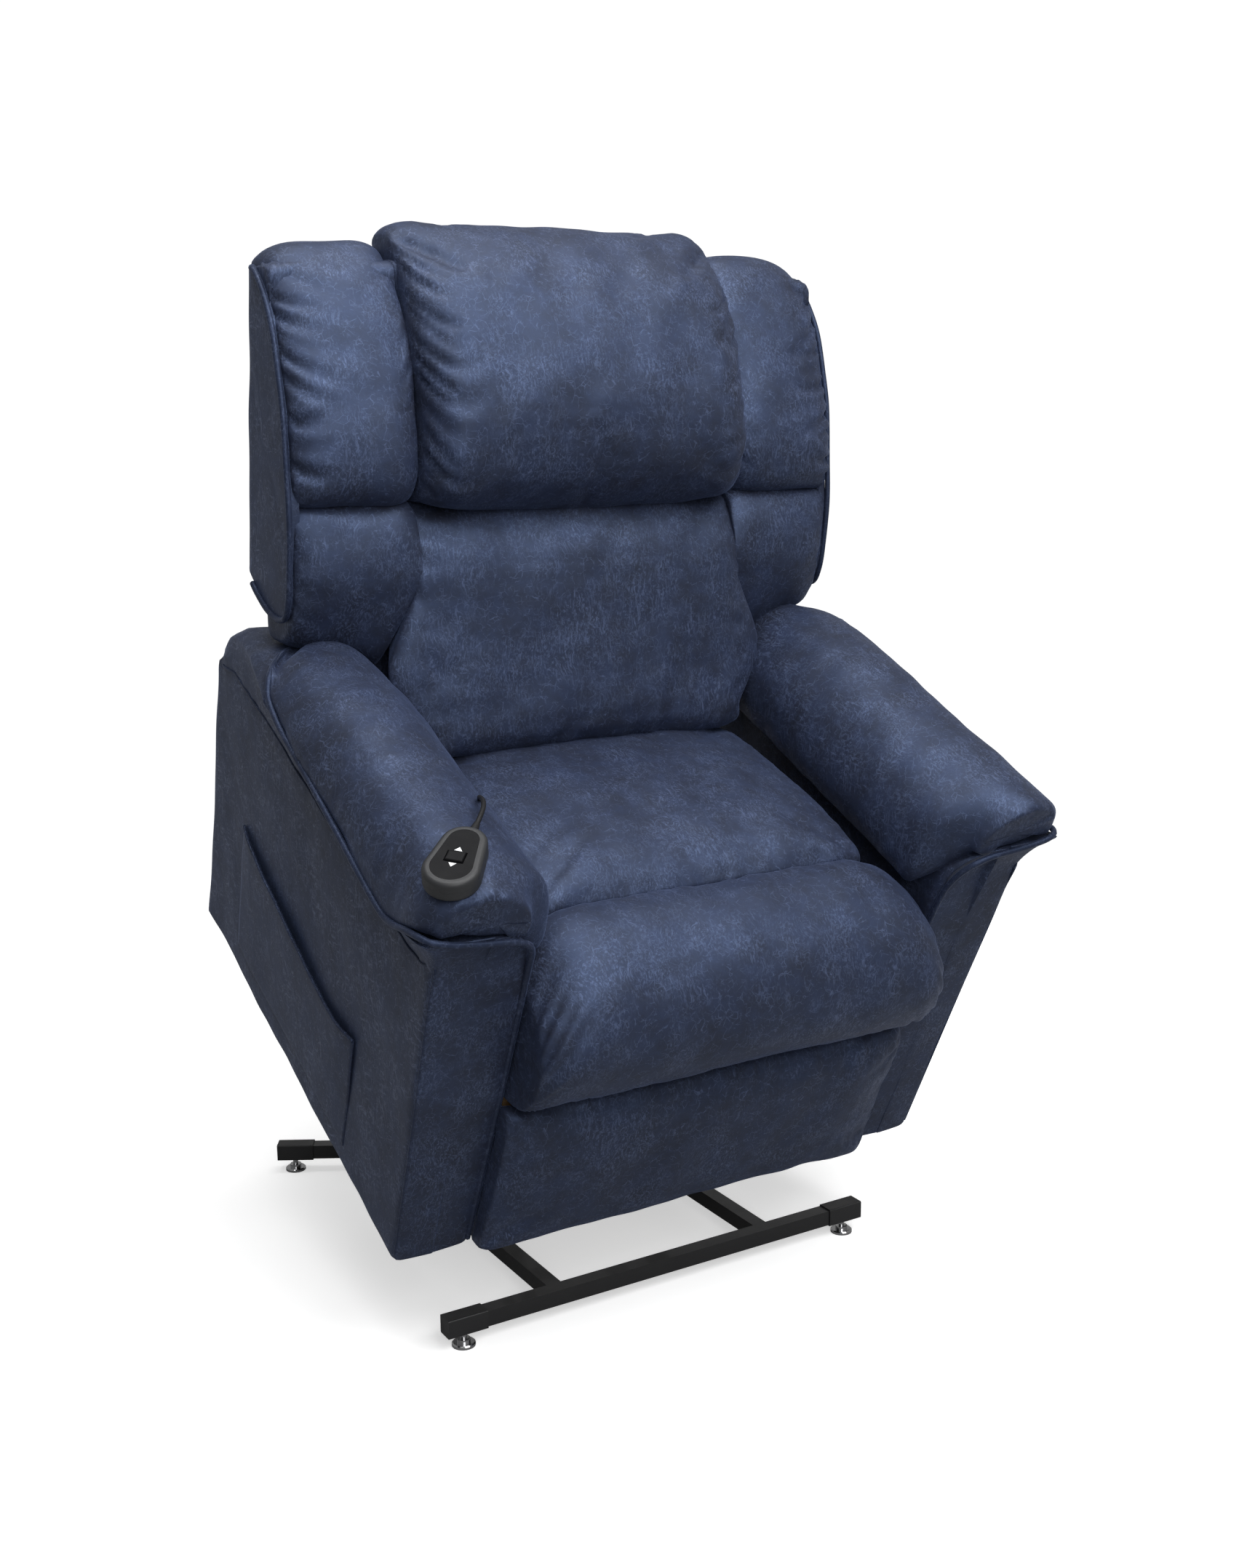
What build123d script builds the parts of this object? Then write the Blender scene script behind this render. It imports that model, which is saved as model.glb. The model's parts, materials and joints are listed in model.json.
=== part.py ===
"""Lift recliner chair, standing in its fully raised pose.

Units are millimetres. X runs across the chair, Y towards its back and Z up. The floor is Z = 0.
The base is drawn where it stands. The seat, arms, back and legrest are drawn on a level chair, whose
arm fronts are at Y = 0, and are then tilted and raised by to_chair().
"""

import math
import os

from build123d import *

os.makedirs("parts", exist_ok=True)

# ---------------------------------------------------------------- driving dimensions
TILT = 24.1  # forward tilt of the chair when fully raised, degrees
RAISE_Y, RAISE_Z = 6.0, 104.0  # where the level chair's origin goes when fully raised
ORIGIN_Y = 199.0  # the middle of the raised chair, front to back

TUBE = 22.2  # square base tube
TUBE_WALL = 1.6
CAP = 26.2  # moulded end cap over the tube
CAP_LENGTH = 58.0
GLIDE_HEIGHT = 20.0
GLIDE_RADIUS = 16.0
BASE_HALF_WIDTH = 342.0
RAIL_X = 172.0
REAR_TUBE_Y = 586.0
FOOT_X, FOOT_Y = 322.0, 672.0  # outer end of a rear outrigger
FOOT_ANGLE = 30.0

PIVOT_R = 6.0  # lift and hinge pins
SMALL_PIN_R = 5.0  # legrest and actuator pins
RUNNING = 0.05  # radial clearance of a pin in its hole
OPEN_PIVOT = 1.2  # radial clearance where a four-bar linkage is left open
LINK_WIDTH, LINK_THICK = 30.0, 6.0
POST_X = 172.0  # inner face of a lift post
PLATE = 5.0

PIVOT_B = (220.0, 95.0)  # upper lift link on the chassis (y, z of the level chair)
PIVOT_D = (130.0, 90.0)  # lower lift link on the chassis
POST_A_Y = REAR_TUBE_Y  # the rear post stands on the rear tube
LOWER_PIVOT_REACH = 220.0  # distance of the lower link's base pivot from the middle of its travel
TORSION_REACH = 108.0
ARM_X = 18.0  # inner face of an actuator head arm
ACTUATOR_FOOT = (586.0, 82.0)  # y, z on the base
HEAD_REACH, HEAD_RISE = 200.0, 60.0  # the actuator's head, along the upper lift link and above it
EYE_CLEARANCE = 2.4  # radial, where the actuator's loop is left open

SEAT_HALF = 252.0
GAP_HALF = 303.0  # half the width between the arm boxes
RAIL_IN, RAIL_OUT = 270.0, 292.0  # wooden seat side rail
CROSS_TUBE = 25.0
FRONT_CROSS = (217.0, 200.0)
REAR_CROSS = (645.0, 275.0)

ARM_IN, ARM_OUT, ARM_DEPTH, ARM_FOOT = 311.0, 419.0, 755.0, 54.0
BOARD = 14.0

BACK_LEAN = 15.4  # degrees from upright
BACK_FOOT = (680.0, 612.0)  # y, z of the origin of the back's own frame, on its rear face
HINGE = (585.0, 345.0)  # recline hinge, y, z of the level chair
RECLINE = 35.0
BACK_HALF = 420.0

LEG_G = (170.0, 240.0)  # legrest link pivot on the seat rail
LEG_LINK = 200.0
LEG_M_STOWED = (34.0, 205.0)  # legrest bracket pivot, panel stowed
LEG_M_OUT = (-200.0, 370.0)  # the same pivot, panel out and level

CORD_R = 3.0

# ---------------------------------------------------------------- helpers


def turn(point, degrees):
    """Rotate a (y, z) point about the X axis."""
    c, s = math.cos(math.radians(degrees)), math.sin(math.radians(degrees))
    return (point[0] * c - point[1] * s, point[0] * s + point[1] * c)


def raised(point):
    """Where a (y, z) point of the level chair is when the chair is fully raised."""
    y, z = turn(point, TILT)
    return (y + RAISE_Y, z + RAISE_Z)


def bearing(start, end):
    """Angle from +Y towards +Z of the line between two (y, z) points, 0 to 360 degrees."""
    return math.degrees(math.atan2(end[1] - start[1], end[0] - start[0])) % 360


def bisector(level):
    """Middle of a chassis pivot's travel, and the direction in which its base pivot lies."""
    up = raised(level)
    dy, dz = up[0] - level[0], up[1] - level[1]
    size = math.hypot(dy, dz)
    return ((level[0] + up[0]) / 2, (level[1] + up[1]) / 2), (dz / size, -dy / size)


def to_ground(shape):
    return Pos(0, -ORIGIN_Y, 0) * shape


def to_chair(shape):
    return Pos(0, RAISE_Y - ORIGIN_Y, RAISE_Z) * Rot(TILT, 0, 0) * shape


def to_back(shape):
    """The back's own frame has Z up along the back and -Y out of its front."""
    return to_chair(Pos(0, *BACK_FOOT) * Rot(-BACK_LEAN, 0, 0) * shape)


def block(x0, x1, y0, y1, z0, z1):
    return Pos((x0 + x1) / 2, (y0 + y1) / 2, (z0 + z1) / 2) * Box(x1 - x0, y1 - y0, z1 - z0)


def slab(points, x0, x1):
    """Extrude a (y, z) outline from x0 to x1."""
    return extrude(Plane.YZ.offset(x0) * Polygon(*points, align=None), x1 - x0, dir=(1, 0, 0))


def bar(points, y0, y1):
    """Extrude an (x, z) outline from y0 to y1."""
    return extrude(Plane.XZ.offset(-y0) * Polygon(*points, align=None), y1 - y0, dir=(0, 1, 0))


def pad_slab(points, x0, x1):
    """Extrude an outline of the back, given as (height along the back, distance out of its rear face)."""
    return slab([(-out, along) for along, out in points], x0, x1)


def pin_x(point, radius, x0, x1):
    """A round pin along X through a (y, z) point."""
    low, high = min(x0, x1), max(x0, x1)
    return Pos((low + high) / 2, *point) * Rot(0, 90, 0) * Cylinder(radius, high - low)


def link(start, end, width, x0, x1, hole_start, hole_end):
    """A flat bar with round ends, drilled at both ends, between two (y, z) points."""
    low, high = min(x0, x1), max(x0, x1)
    length = math.hypot(end[0] - start[0], end[1] - start[1])
    flat = SlotCenterToCenter(length, width)
    if hole_start:
        flat -= Pos(-length / 2, 0) * Circle(hole_start)
    if hole_end:
        flat -= Pos(length / 2, 0) * Circle(hole_end)
    middle = ((start[0] + end[0]) / 2, (start[1] + end[1]) / 2)
    face = Plane.YZ.offset(low) * Pos(*middle) * Rot(0, 0, bearing(start, end)) * flat
    return extrude(face, high - low, dir=(1, 0, 0))


def square_tube(length, side, wall):
    """A square tube along X, centred on the origin."""
    return Box(length, side, side) - Box(length + 1, side - 2 * wall, side - 2 * wall)


def both_sides(shape):
    return [shape, mirror(shape, about=Plane.YZ)]


def write(name, shapes):
    """Write one node from a shape or a list of separate shapes."""
    solids = []
    for shape in shapes if isinstance(shapes, list) else [shapes]:
        solids.extend(shape.solids())
    print("node", name, len(solids))
    export_step(solids[0] if len(solids) == 1 else Compound(children=solids), f"parts/{name}.step")


def write_pair(name, shape, place):
    """Write a +X shape and its mirror image as NAME_right and NAME_left."""
    write(f"{name}_right", place(shape))
    write(f"{name}_left", place(mirror(shape, about=Plane.YZ)))


def write_both(name, shape, place):
    """Write a +X shape and its mirror image as the two solids of one node."""
    write(name, [place(piece) for piece in both_sides(shape)])


# ---------------------------------------------------------------- lift linkage geometry
B_UP, D_UP = raised(PIVOT_B), raised(PIVOT_D)
middle, away = bisector(PIVOT_B)
reach = (POST_A_Y - middle[0]) / away[0]
PIVOT_A = (POST_A_Y, middle[1] + away[1] * reach)
middle, away = bisector(PIVOT_D)
PIVOT_C = (middle[0] + away[0] * LOWER_PIVOT_REACH, middle[1] + away[1] * LOWER_PIVOT_REACH)


def head(link_end):
    """The actuator's head, carried by the upper lift link between PIVOT_A and link_end."""
    angle = math.radians(bearing(PIVOT_A, link_end))
    y = PIVOT_A[0] + HEAD_REACH * math.cos(angle) + HEAD_RISE * math.sin(angle)
    return (y, PIVOT_A[1] + HEAD_REACH * math.sin(angle) - HEAD_RISE * math.cos(angle))


HEAD_LEVEL, HEAD_UP = head(PIVOT_B), head(B_UP)

TUBE_LOW = GLIDE_HEIGHT + (CAP - TUBE) / 2
TUBE_TOP = TUBE_LOW + TUBE
TUBE_MID = TUBE_LOW + TUBE / 2


# ---------------------------------------------------------------- base
def make_base():
    front = Pos(0, 0, TUBE_MID) * square_tube(2 * BASE_HALF_WIDTH - 6, TUBE, TUBE_WALL)
    rail_start, rail_end = TUBE / 2, REAR_TUBE_Y - TUBE / 2
    rail = Rot(0, 0, 90) * square_tube(rail_end - rail_start, TUBE, TUBE_WALL)
    write_both("base_rails", Pos(RAIL_X, (rail_start + rail_end) / 2, TUBE_MID) * rail, to_ground)
    half_rear = RAIL_X + TUBE / 2
    rear = Pos(0, REAR_TUBE_Y, TUBE_MID) * square_tube(2 * half_rear, TUBE, TUBE_WALL)
    write("base_cross_tubes", [to_ground(front), to_ground(rear)])

    foot = Pos(FOOT_X, FOOT_Y, TUBE_MID) * Rot(0, 0, FOOT_ANGLE)
    long_leg = foot * Pos(-123, 0, 0) * square_tube(240, TUBE, TUBE_WALL)
    keep = block(half_rear, 500, 500, 800, 0, 100)
    write_both("base_outriggers", long_leg & keep, to_ground)

    cap = Box(CAP_LENGTH, CAP, CAP)
    cap = fillet(cap.edges().filter_by(Axis.X), 2.0)
    hollow = Box(CAP_LENGTH - 2, TUBE, TUBE)
    front_cap = Pos(BASE_HALF_WIDTH - CAP_LENGTH / 2, 0, TUBE_MID) * (cap - Pos(-2, 0, 0) * hollow)
    rear_cap = foot * Pos(-CAP_LENGTH / 2, 0, 0) * (cap - Pos(-2, 0, 0) * hollow)
    caps = both_sides(front_cap) + both_sides(rear_cap)
    write("base_end_caps", [to_ground(piece) for piece in caps])

    glide = Cylinder(GLIDE_RADIUS, 5, align=(Align.CENTER, Align.CENTER, Align.MIN))
    glide = chamfer(glide.edges().group_by(Axis.Z)[-1], 1.5)
    glide += Pos(0, 0, 5) * Cylinder(9, 5, align=(Align.CENTER, Align.CENTER, Align.MIN))
    glide += Pos(0, 0, 10) * Cylinder(4, 10, align=(Align.CENTER, Align.CENTER, Align.MIN))
    rear_spot = foot * Pos(-27, 0, -TUBE_MID) * glide
    glides = both_sides(Pos(BASE_HALF_WIDTH - 27, 0, 0) * glide) + both_sides(rear_spot)
    write("levelling_glides", [to_ground(piece) for piece in glides])


def post(pivot):
    """An upright flat bar on the base that carries one lift pivot."""
    height = pivot[1] - TUBE_TOP
    flat = Pos(pivot[0], TUBE_TOP + height / 2) * Rectangle(LINK_WIDTH, height)
    flat += Pos(*pivot) * Circle(LINK_WIDTH / 2)
    return extrude(Plane.YZ.offset(POST_X) * flat, PLATE)


def make_posts():
    pin = PIVOT_R
    rear_post = post(PIVOT_A) + pin_x(PIVOT_A, pin, POST_X - 8, POST_X)
    rear_post += pin_x(PIVOT_A, 9, POST_X - 9, POST_X - 7.7)
    write_both("lift_posts_rear", rear_post, to_ground)
    front_post = post(PIVOT_C) + pin_x(PIVOT_C, pin, POST_X + PLATE, POST_X + PLATE + 8)
    front_post += pin_x(PIVOT_C, 9, POST_X + PLATE + 7.8, POST_X + PLATE + 9)
    write_both("lift_posts_front", front_post, to_ground)

    foot_y, foot_z = ACTUATOR_FOOT
    half = TUBE / 2
    ear = [(foot_y - half, TUBE_TOP), (foot_y + half, TUBE_TOP)]
    ear += [(foot_y + half, foot_z), (foot_y - half, foot_z)]
    ears = slab(ear, 14, 19) + pin_x(ACTUATOR_FOOT, 12, 14, 19)
    bracket = ears + mirror(ears, about=Plane.YZ) + pin_x(ACTUATOR_FOOT, SMALL_PIN_R, -14, 14)
    write("actuator_base_bracket", to_ground(bracket))


# ---------------------------------------------------------------- lift links
def make_links():
    hole = PIVOT_R + RUNNING
    inner = POST_X - 7.5
    upper = link(PIVOT_A, B_UP, LINK_WIDTH, inner, inner + LINK_THICK, hole, hole)
    write_both("upper_lift_links", upper, to_ground)
    share = TORSION_REACH / math.hypot(B_UP[0] - PIVOT_A[0], B_UP[1] - PIVOT_A[1])
    spot = [PIVOT_A[i] + (B_UP[i] - PIVOT_A[i]) * share for i in (0, 1)]
    tube = pin_x(spot, 12, -inner, inner) - pin_x(spot, 9.5, -inner - 1, inner + 1)
    write("torsion_tube", to_ground(tube))
    arm = link(spot, HEAD_UP, 28, ARM_X, ARM_X + PLATE, 12.02, 0)
    arms = arm + mirror(arm, about=Plane.YZ) + pin_x(HEAD_UP, SMALL_PIN_R, -ARM_X, ARM_X)
    write("actuator_head_arms", to_ground(arms))
    outer = POST_X + PLATE + 1.5
    lower = link(PIVOT_C, D_UP, LINK_WIDTH, outer, outer + LINK_THICK, hole, PIVOT_R + OPEN_PIVOT)
    write_both("lower_lift_links", lower, to_ground)


# ---------------------------------------------------------------- actuator
def make_actuator():
    """A linear actuator from the base to the chassis, drawn along its own X axis and then placed."""
    angle = bearing(ACTUATOR_FOOT, HEAD_UP)
    length = math.hypot(HEAD_UP[0] - ACTUATOR_FOOT[0], HEAD_UP[1] - ACTUATOR_FOOT[1])
    level = math.hypot(HEAD_LEVEL[0] - ACTUATOR_FOOT[0], HEAD_LEVEL[1] - ACTUATOR_FOOT[1])
    stroke = length - level
    # local X runs along the actuator, local Y is the chair's X axis
    frame = Pos(0, *ACTUATOR_FOOT) * Rot(angle, 0, 0) * Rot(0, 0, 90)

    def place(shape):
        return to_ground(frame * shape)

    gearbox = Pos(42, 0, 0) * Box(52, 46, 52)
    gearbox = fillet(gearbox.edges().filter_by(Axis.Y), 8)
    gearbox += Pos(9, 0, 0) * Box(18, 22, 20) + Rot(90, 0, 0) * Cylinder(10, 22)
    gearbox -= Rot(90, 0, 0) * Cylinder(SMALL_PIN_R + RUNNING, 30)
    write("actuator_gearbox", place(gearbox))
    motor = Pos(42, -23 - 52, 0) * Rot(90, 0, 0) * Cylinder(25, 104)
    motor = fillet(motor.edges(), 4)
    write("actuator_motor", place(motor))
    tube_end = level - 26
    tube = Pos((68 + tube_end) / 2, 0, 0) * Rot(0, 90, 0) * Cylinder(16, tube_end - 68)
    tube -= Pos((84 + tube_end) / 2 + 1, 0, 0) * Rot(0, 90, 0) * Cylinder(10.1, tube_end - 84 + 2)
    write("actuator_tube", place(tube))
    rod_start = length - 24 - stroke - 60
    rod = Pos((rod_start + length - 24) / 2, 0, 0) * Rot(0, 90, 0) * Cylinder(10, length - 24 - rod_start)
    eye = Pos(length, 0, 0) * Rot(90, 0, 0) * Cylinder(SMALL_PIN_R + EYE_CLEARANCE + 5, 30)
    eye += Pos(length - 16, 0, 0) * Box(16, 22, 20)
    eye -= Pos(length, 0, 0) * Rot(90, 0, 0) * Cylinder(SMALL_PIN_R + EYE_CLEARANCE, 31)
    write("actuator_rod", place(rod + eye))
    return angle, length, level


# ---------------------------------------------------------------- chassis
def make_chassis():
    side_x = POST_X + PLATE + 10.5
    y1, z1 = FRONT_CROSS
    y2, z2 = REAR_CROSS
    half = CROSS_TUBE / 2
    outline = [(112, 72), (150, 72), (y1 + half, z1 - half - 24), (y2 + half, z2 - half - 36)]
    outline += [(y2 + half, z2 - half), (y2 - half, z2 - half)]
    outline += [(y1 + half, z1 - half), (y1 - half, z1 - half)]
    plate = slab(outline, side_x, side_x + PLATE)
    write_both("chassis_side_plates", plate, to_chair)
    write_both("lower_link_pins", pin_x(PIVOT_D, PIVOT_R, POST_X + PLATE + 0.7, side_x), to_chair)
    tube = square_tube(2 * RAIL_IN - 1, CROSS_TUBE, 2)
    write("chassis_cross_tubes", [to_chair(Pos(0, *spot) * tube) for spot in (FRONT_CROSS, REAR_CROSS)])
    by, bz = PIVOT_B
    plate = [(y1 - half, z1 - half), (by - 16, bz), (by - 8, bz - 16), (by + 8, bz - 16), (by + 16, bz)]
    hanger = slab(plate + [(y1 + half, z1 - half)], 158, 163)
    hanger += pin_x(PIVOT_B, PIVOT_R, 163, POST_X - 0.7)
    write_both("lift_link_hangers", hanger, to_chair)


# ---------------------------------------------------------------- seat
def make_seat():
    rail = block(RAIL_IN, RAIL_OUT, 22, 682, 185, 300)
    write_both("seat_side_rails", rail, to_chair)
    inner = RAIL_IN - 0.2
    cross = [block(-inner, inner, 22, 44, 276, 300), block(-inner, inner, 660, 682, 200, 300)]
    write("seat_cross_rails", [to_chair(piece) for piece in cross])

    springs = []
    wire, swing, bends = 1.9, 17.0, 12
    for x in (-226, -124, -62, 0, 62, 124, 226):
        points = [(x, 32)]
        for i in range(bends):
            side = swing if i % 2 else -swing
            y = 70 + (620 - 70) * i / (bends - 1)
            points += [(x + side, y - 10), (x + side, y + 10)]
        points.append((x, 672))
        path = FilletPolyline(*[(px, py, 302.5) for px, py in points], radius=7)
        section = Plane(origin=path @ 0, z_dir=path % 0) * Circle(wire)
        springs.append(to_chair(sweep(section, path=path)))
    write("seat_springs", springs)

    cushion = [(91, 307), (480, 307), (480, 497), (418, 517), (300, 532), (91, 534)]
    write("seat_cushion", to_chair(slab(cushion, -SEAT_HALF, SEAT_HALF)))
    roll = [(90, 307), (90, 533), (30, 528), (-25, 512), (-62, 480), (-84, 440)]
    roll += [(-80, 392), (-56, 346), (-18, 313), (16, 307)]
    narrow = slab(roll, -SEAT_HALF, SEAT_HALF)
    wide = slab([(y, min(z, 494)) for y, z in roll if z < 507], -GAP_HALF + 1, GAP_HALF - 1)
    write("seat_front_roll", to_chair(narrow + wide))

    spots = [block(RAIL_OUT, ARM_IN, y, y + 40, 200, 270) for y in (110, 540)]
    brackets = spots + [mirror(piece, about=Plane.YZ) for piece in spots]
    write("arm_brackets", [to_chair(piece) for piece in brackets])
    box = block(-70, 70, 682, 720, 205, 275)
    box = fillet(box.edges().group_by(Axis.Y)[-1], 5)
    write("control_box", to_chair(box))


# ---------------------------------------------------------------- arms
ARM_CREST = 669.0


def rear_slope():
    """What is cut off the top of an arm behind its pad."""
    return slab([(600, 590), (700, 578), (757, 546), (757, 720), (600, 720)], -500, 500)


def make_arms():
    outer = [(ARM_OUT - BOARD, ARM_FOOT), (ARM_OUT, ARM_FOOT), (430, 330), (437, 500), (441, 538)]
    outer += [(453, 570), (468, 594), (440, 590), (428, 560), (423, 500), (416, 330)]
    outer_board = bar(outer, 0, ARM_DEPTH) - rear_slope()
    inner_board = block(ARM_IN, ARM_IN + 12, 0, ARM_DEPTH, ARM_FOOT, 530)
    top = [(ARM_IN + 1, 530.5), (ARM_IN + 12, 530.5), (ARM_IN + 28, 566), (427.5, 566), (439, 590)]
    top += [(350, 584), (327, 568)]
    top_board = bar(top, 0, ARM_DEPTH) - rear_slope()
    inside = [(ARM_IN + 12.5, ARM_FOOT), (ARM_OUT - BOARD - 0.5, ARM_FOOT), (415.5, 330), (422.5, 500)]
    inside += [(426.5, 565), (ARM_IN + 28, 565), (ARM_IN + 12.5, 532)]
    front_board = bar(inside, 0, BOARD)
    lip = slab([(0, 520), (0, 589.5), (-22, 589.5), (-8, 550)], 324, 456)
    flare = [(324, 500), (434, 500), (440, 538), (455, 590), (345, 590), (324, 560)]
    front_board += lip & bar(flare, -40, 1)
    rear_board = bar(inside, ARM_DEPTH - BOARD, ARM_DEPTH) - block(300, 500, 700, 800, 544, 600)
    for side in ("right", "left"):
        inner_boards = [inner_board, top_board, front_board, rear_board]
        pieces = {"outer_panel": [outer_board], "inner_panels": inner_boards}
        for name, shapes in pieces.items():
            if side == "left":
                shapes = [mirror(shape, about=Plane.YZ) for shape in shapes]
            write(f"{side}_arm_{name}", [to_chair(shape) for shape in shapes])

    pad = [(317, 546), (310, 531), (310, 500), (268, 500), (264, 545), (276, 575), (312, 620), (340, 651)]
    pad += [(375, ARM_CREST), (425, 658), (458, 630), (474, 601), (468.5, 595), (350, 585), (327, 569)]
    soft = bar(pad, -28, 600)
    soft -= slab([(478, 671), (520, 655), (565, 626), (601, 592), (601, 720), (478, 720)], 200, 500)
    soft -= block(200, 500, -40, 0, 400, 590)
    soft = soft - block(ARM_IN - 0.5, ARM_IN + 14, -40, 700, 400, 531)
    write_pair("arm_pad", soft, to_chair)

    gussets = [block(-437, -434, 190, 600, 92, 280), block(-434, -400, 190, 600, 92, 95)]
    gussets += [block(-434, -400, y, y + 3, 95, 280) for y in (190, 597)]
    arm_side = bar([(-419.2, ARM_FOOT), (-430.2, 330), (-300, 330), (-300, ARM_FOOT)], 0, ARM_DEPTH)
    write("side_pocket", [to_chair(piece - arm_side) for piece in gussets])


# ---------------------------------------------------------------- back
def make_back():
    panel = [(61, 0), (33, 70), (40, 150), (86, 153), (160, 147), (224, 139), (296, 127), (339, 111)]
    panel += [(399, 85), (452, 38), (466, 0)]
    write_both("back_side_panels", pad_slab(panel, BACK_HALF - 8, BACK_HALF), to_back)
    inner_half = BACK_HALF - 8.2
    rear = pad_slab([(61, 0), (61, 6), (466, 6), (466, 0)], -inner_half, inner_half)
    write("back_rear_panel", to_back(rear))
    write("back_lower_panel", to_back(pad_slab([(-235, 0), (-235, 6), (60.5, 6), (60.5, 0)], -250, 250)))
    post_shape = pad_slab([(-235, 10), (-235, 45), (430, 45), (430, 10)], 232, 257)
    write_both("back_posts", post_shape, to_back)
    rails = []
    for low in (-150, 100, 390):
        rail = [(low, 12), (low, 40), (low + 40, 40), (low + 40, 12)]
        rails.append(to_back(pad_slab(rail, -231.8, 231.8)))
    write("back_cross_rails", rails)

    lumbar = [(-155, 50), (-155, 225), (0, 184), (100, 192), (174, 165), (174, 50)]
    write("lumbar_cushion", to_back(pad_slab(lumbar, -256, 256)))
    pillow = [(178, 50), (178, 150), (205, 197), (270, 212), (350, 190), (430, 142), (490, 92), (525, 45)]
    pillow += [(534, 5), (524, -20), (500, -27), (474, -22), (470, 50)]
    write("head_pillow", to_back(pad_slab(pillow, -250, 250)))
    bolster = [(186, 50), (186, 150), (210, 172), (300, 160), (370, 130), (440, 95), (488, 55), (498, 25)]
    bolster += [(490, -5), (474, -10), (470, 50)]
    write_pair("head_bolster", pad_slab(bolster, 251, 411), to_back)
    wing = [(12, 50), (12, 130), (35, 150), (90, 165), (150, 176), (184, 165), (184, 50)]
    write_pair("back_wing", pad_slab(wing, 258, 411), to_back)


def make_hinges():
    """Recline hinge: a plate on each seat rail with a pin, and a plate on each back post."""
    y, z = HINGE
    ear = [(y - 30, 230), (y + 30, 230), (y + 16, z + 8), (y + 8, z + 16), (y - 8, z + 16), (y - 16, z + 8)]
    seat_plate = slab(ear, 264, 269.9)
    seat_plate += pin_x(HINGE, PIVOT_R, 256.6, 264)
    write_both("seat_hinge_plates", seat_plate, to_chair)
    lean = math.radians(BACK_LEAN)
    ends = []
    for along, out in ((110, -14), (110, 26)):
        dy = math.sin(lean) * along - math.cos(lean) * out
        dz = math.cos(lean) * along + math.sin(lean) * out
        ends.append((y + dy, z + dz))
    back_plate = slab([(y - 15, z), (y, z - 15), (y + 15, z), ends[0], ends[1]], 257.2, 262.5)
    back_plate += pin_x(HINGE, 15, 257.2, 262.5)
    back_plate -= pin_x(HINGE, PIVOT_R + RUNNING, 250, 270)
    write_both("back_hinge_plates", back_plate, to_chair)


# ---------------------------------------------------------------- legrest
def elbow(start, end):
    """Where two equal links meet below the line from start to end."""
    dy, dz = end[0] - start[0], end[1] - start[1]
    span = math.hypot(dy, dz)
    drop = math.sqrt(LEG_LINK**2 - span**2 / 4)
    return ((start[0] + end[0]) / 2 - dz / span * drop, (start[1] + end[1]) / 2 + dy / span * drop)


E_STOWED = elbow(LEG_G, LEG_M_STOWED)
E_OUT = elbow(LEG_G, LEG_M_OUT)


def make_legrest():
    hole = SMALL_PIN_R + RUNNING
    rear = link(LEG_G, E_STOWED, 20, 250, 256, hole, 0)
    rear_pin = pin_x(E_STOWED, SMALL_PIN_R, 241.5, 256)
    write_both("legrest_rear_links", rear + rear_pin, to_chair)
    front = link(E_STOWED, LEG_M_STOWED, 20, 242, 248, hole, hole)
    write_both("legrest_front_links", front, to_chair)
    pin = pin_x(LEG_G, SMALL_PIN_R, 249.5, RAIL_IN - 0.1)
    write_both("legrest_pivot_pins", pin, to_chair)
    my, mz = LEG_M_STOWED
    bracket = slab([(9.2, 160), (9.2, 250), (my + 9, mz + 8), (my + 9, mz - 8)], 234, 240)
    bracket += pin_x(LEG_M_STOWED, SMALL_PIN_R, 240, 249)
    write_both("legrest_brackets", bracket, to_chair)
    write("legrest_board", to_chair(block(-288, 288, -6, 9, 66, 296)))
    pad = [(-6.5, 58), (-6.5, 300), (-26, 298), (-37, 270), (-38, 100), (-30, 62)]
    write("legrest_pad", to_chair(slab(pad, -GAP_HALF + 2, GAP_HALF - 2)))


# ---------------------------------------------------------------- handset
HANDSET = Pos(-416, 25.4, 661.4) * Rot(0, -12.4, 0) * Rot(0, 0, -42.2)
SHELL_SPLIT, HANDSET_TOP = 13.0, 26.0
ROCKER_Z = 21.5  # height of the rocker's axle above the handset's underside
ROCKER_Y = -7.5  # how far the rocker sits from the middle, towards the wide end
WIDE_R, WIDE_Y, NARROW_R, NARROW_Y = 33.0, -21.8, 27.0, 21.8
RELIEF = 20.0  # length of the strain relief outside the shell
CORD_Z = 11.0  # height of the cord above the handset's underside


def handset_outline(inset):
    wide = Pos(0, WIDE_Y) * Circle(WIDE_R - inset)
    narrow = Pos(0, NARROW_Y) * Circle(NARROW_R - inset)
    return make_hull(wide.edges() + narrow.edges())


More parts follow.
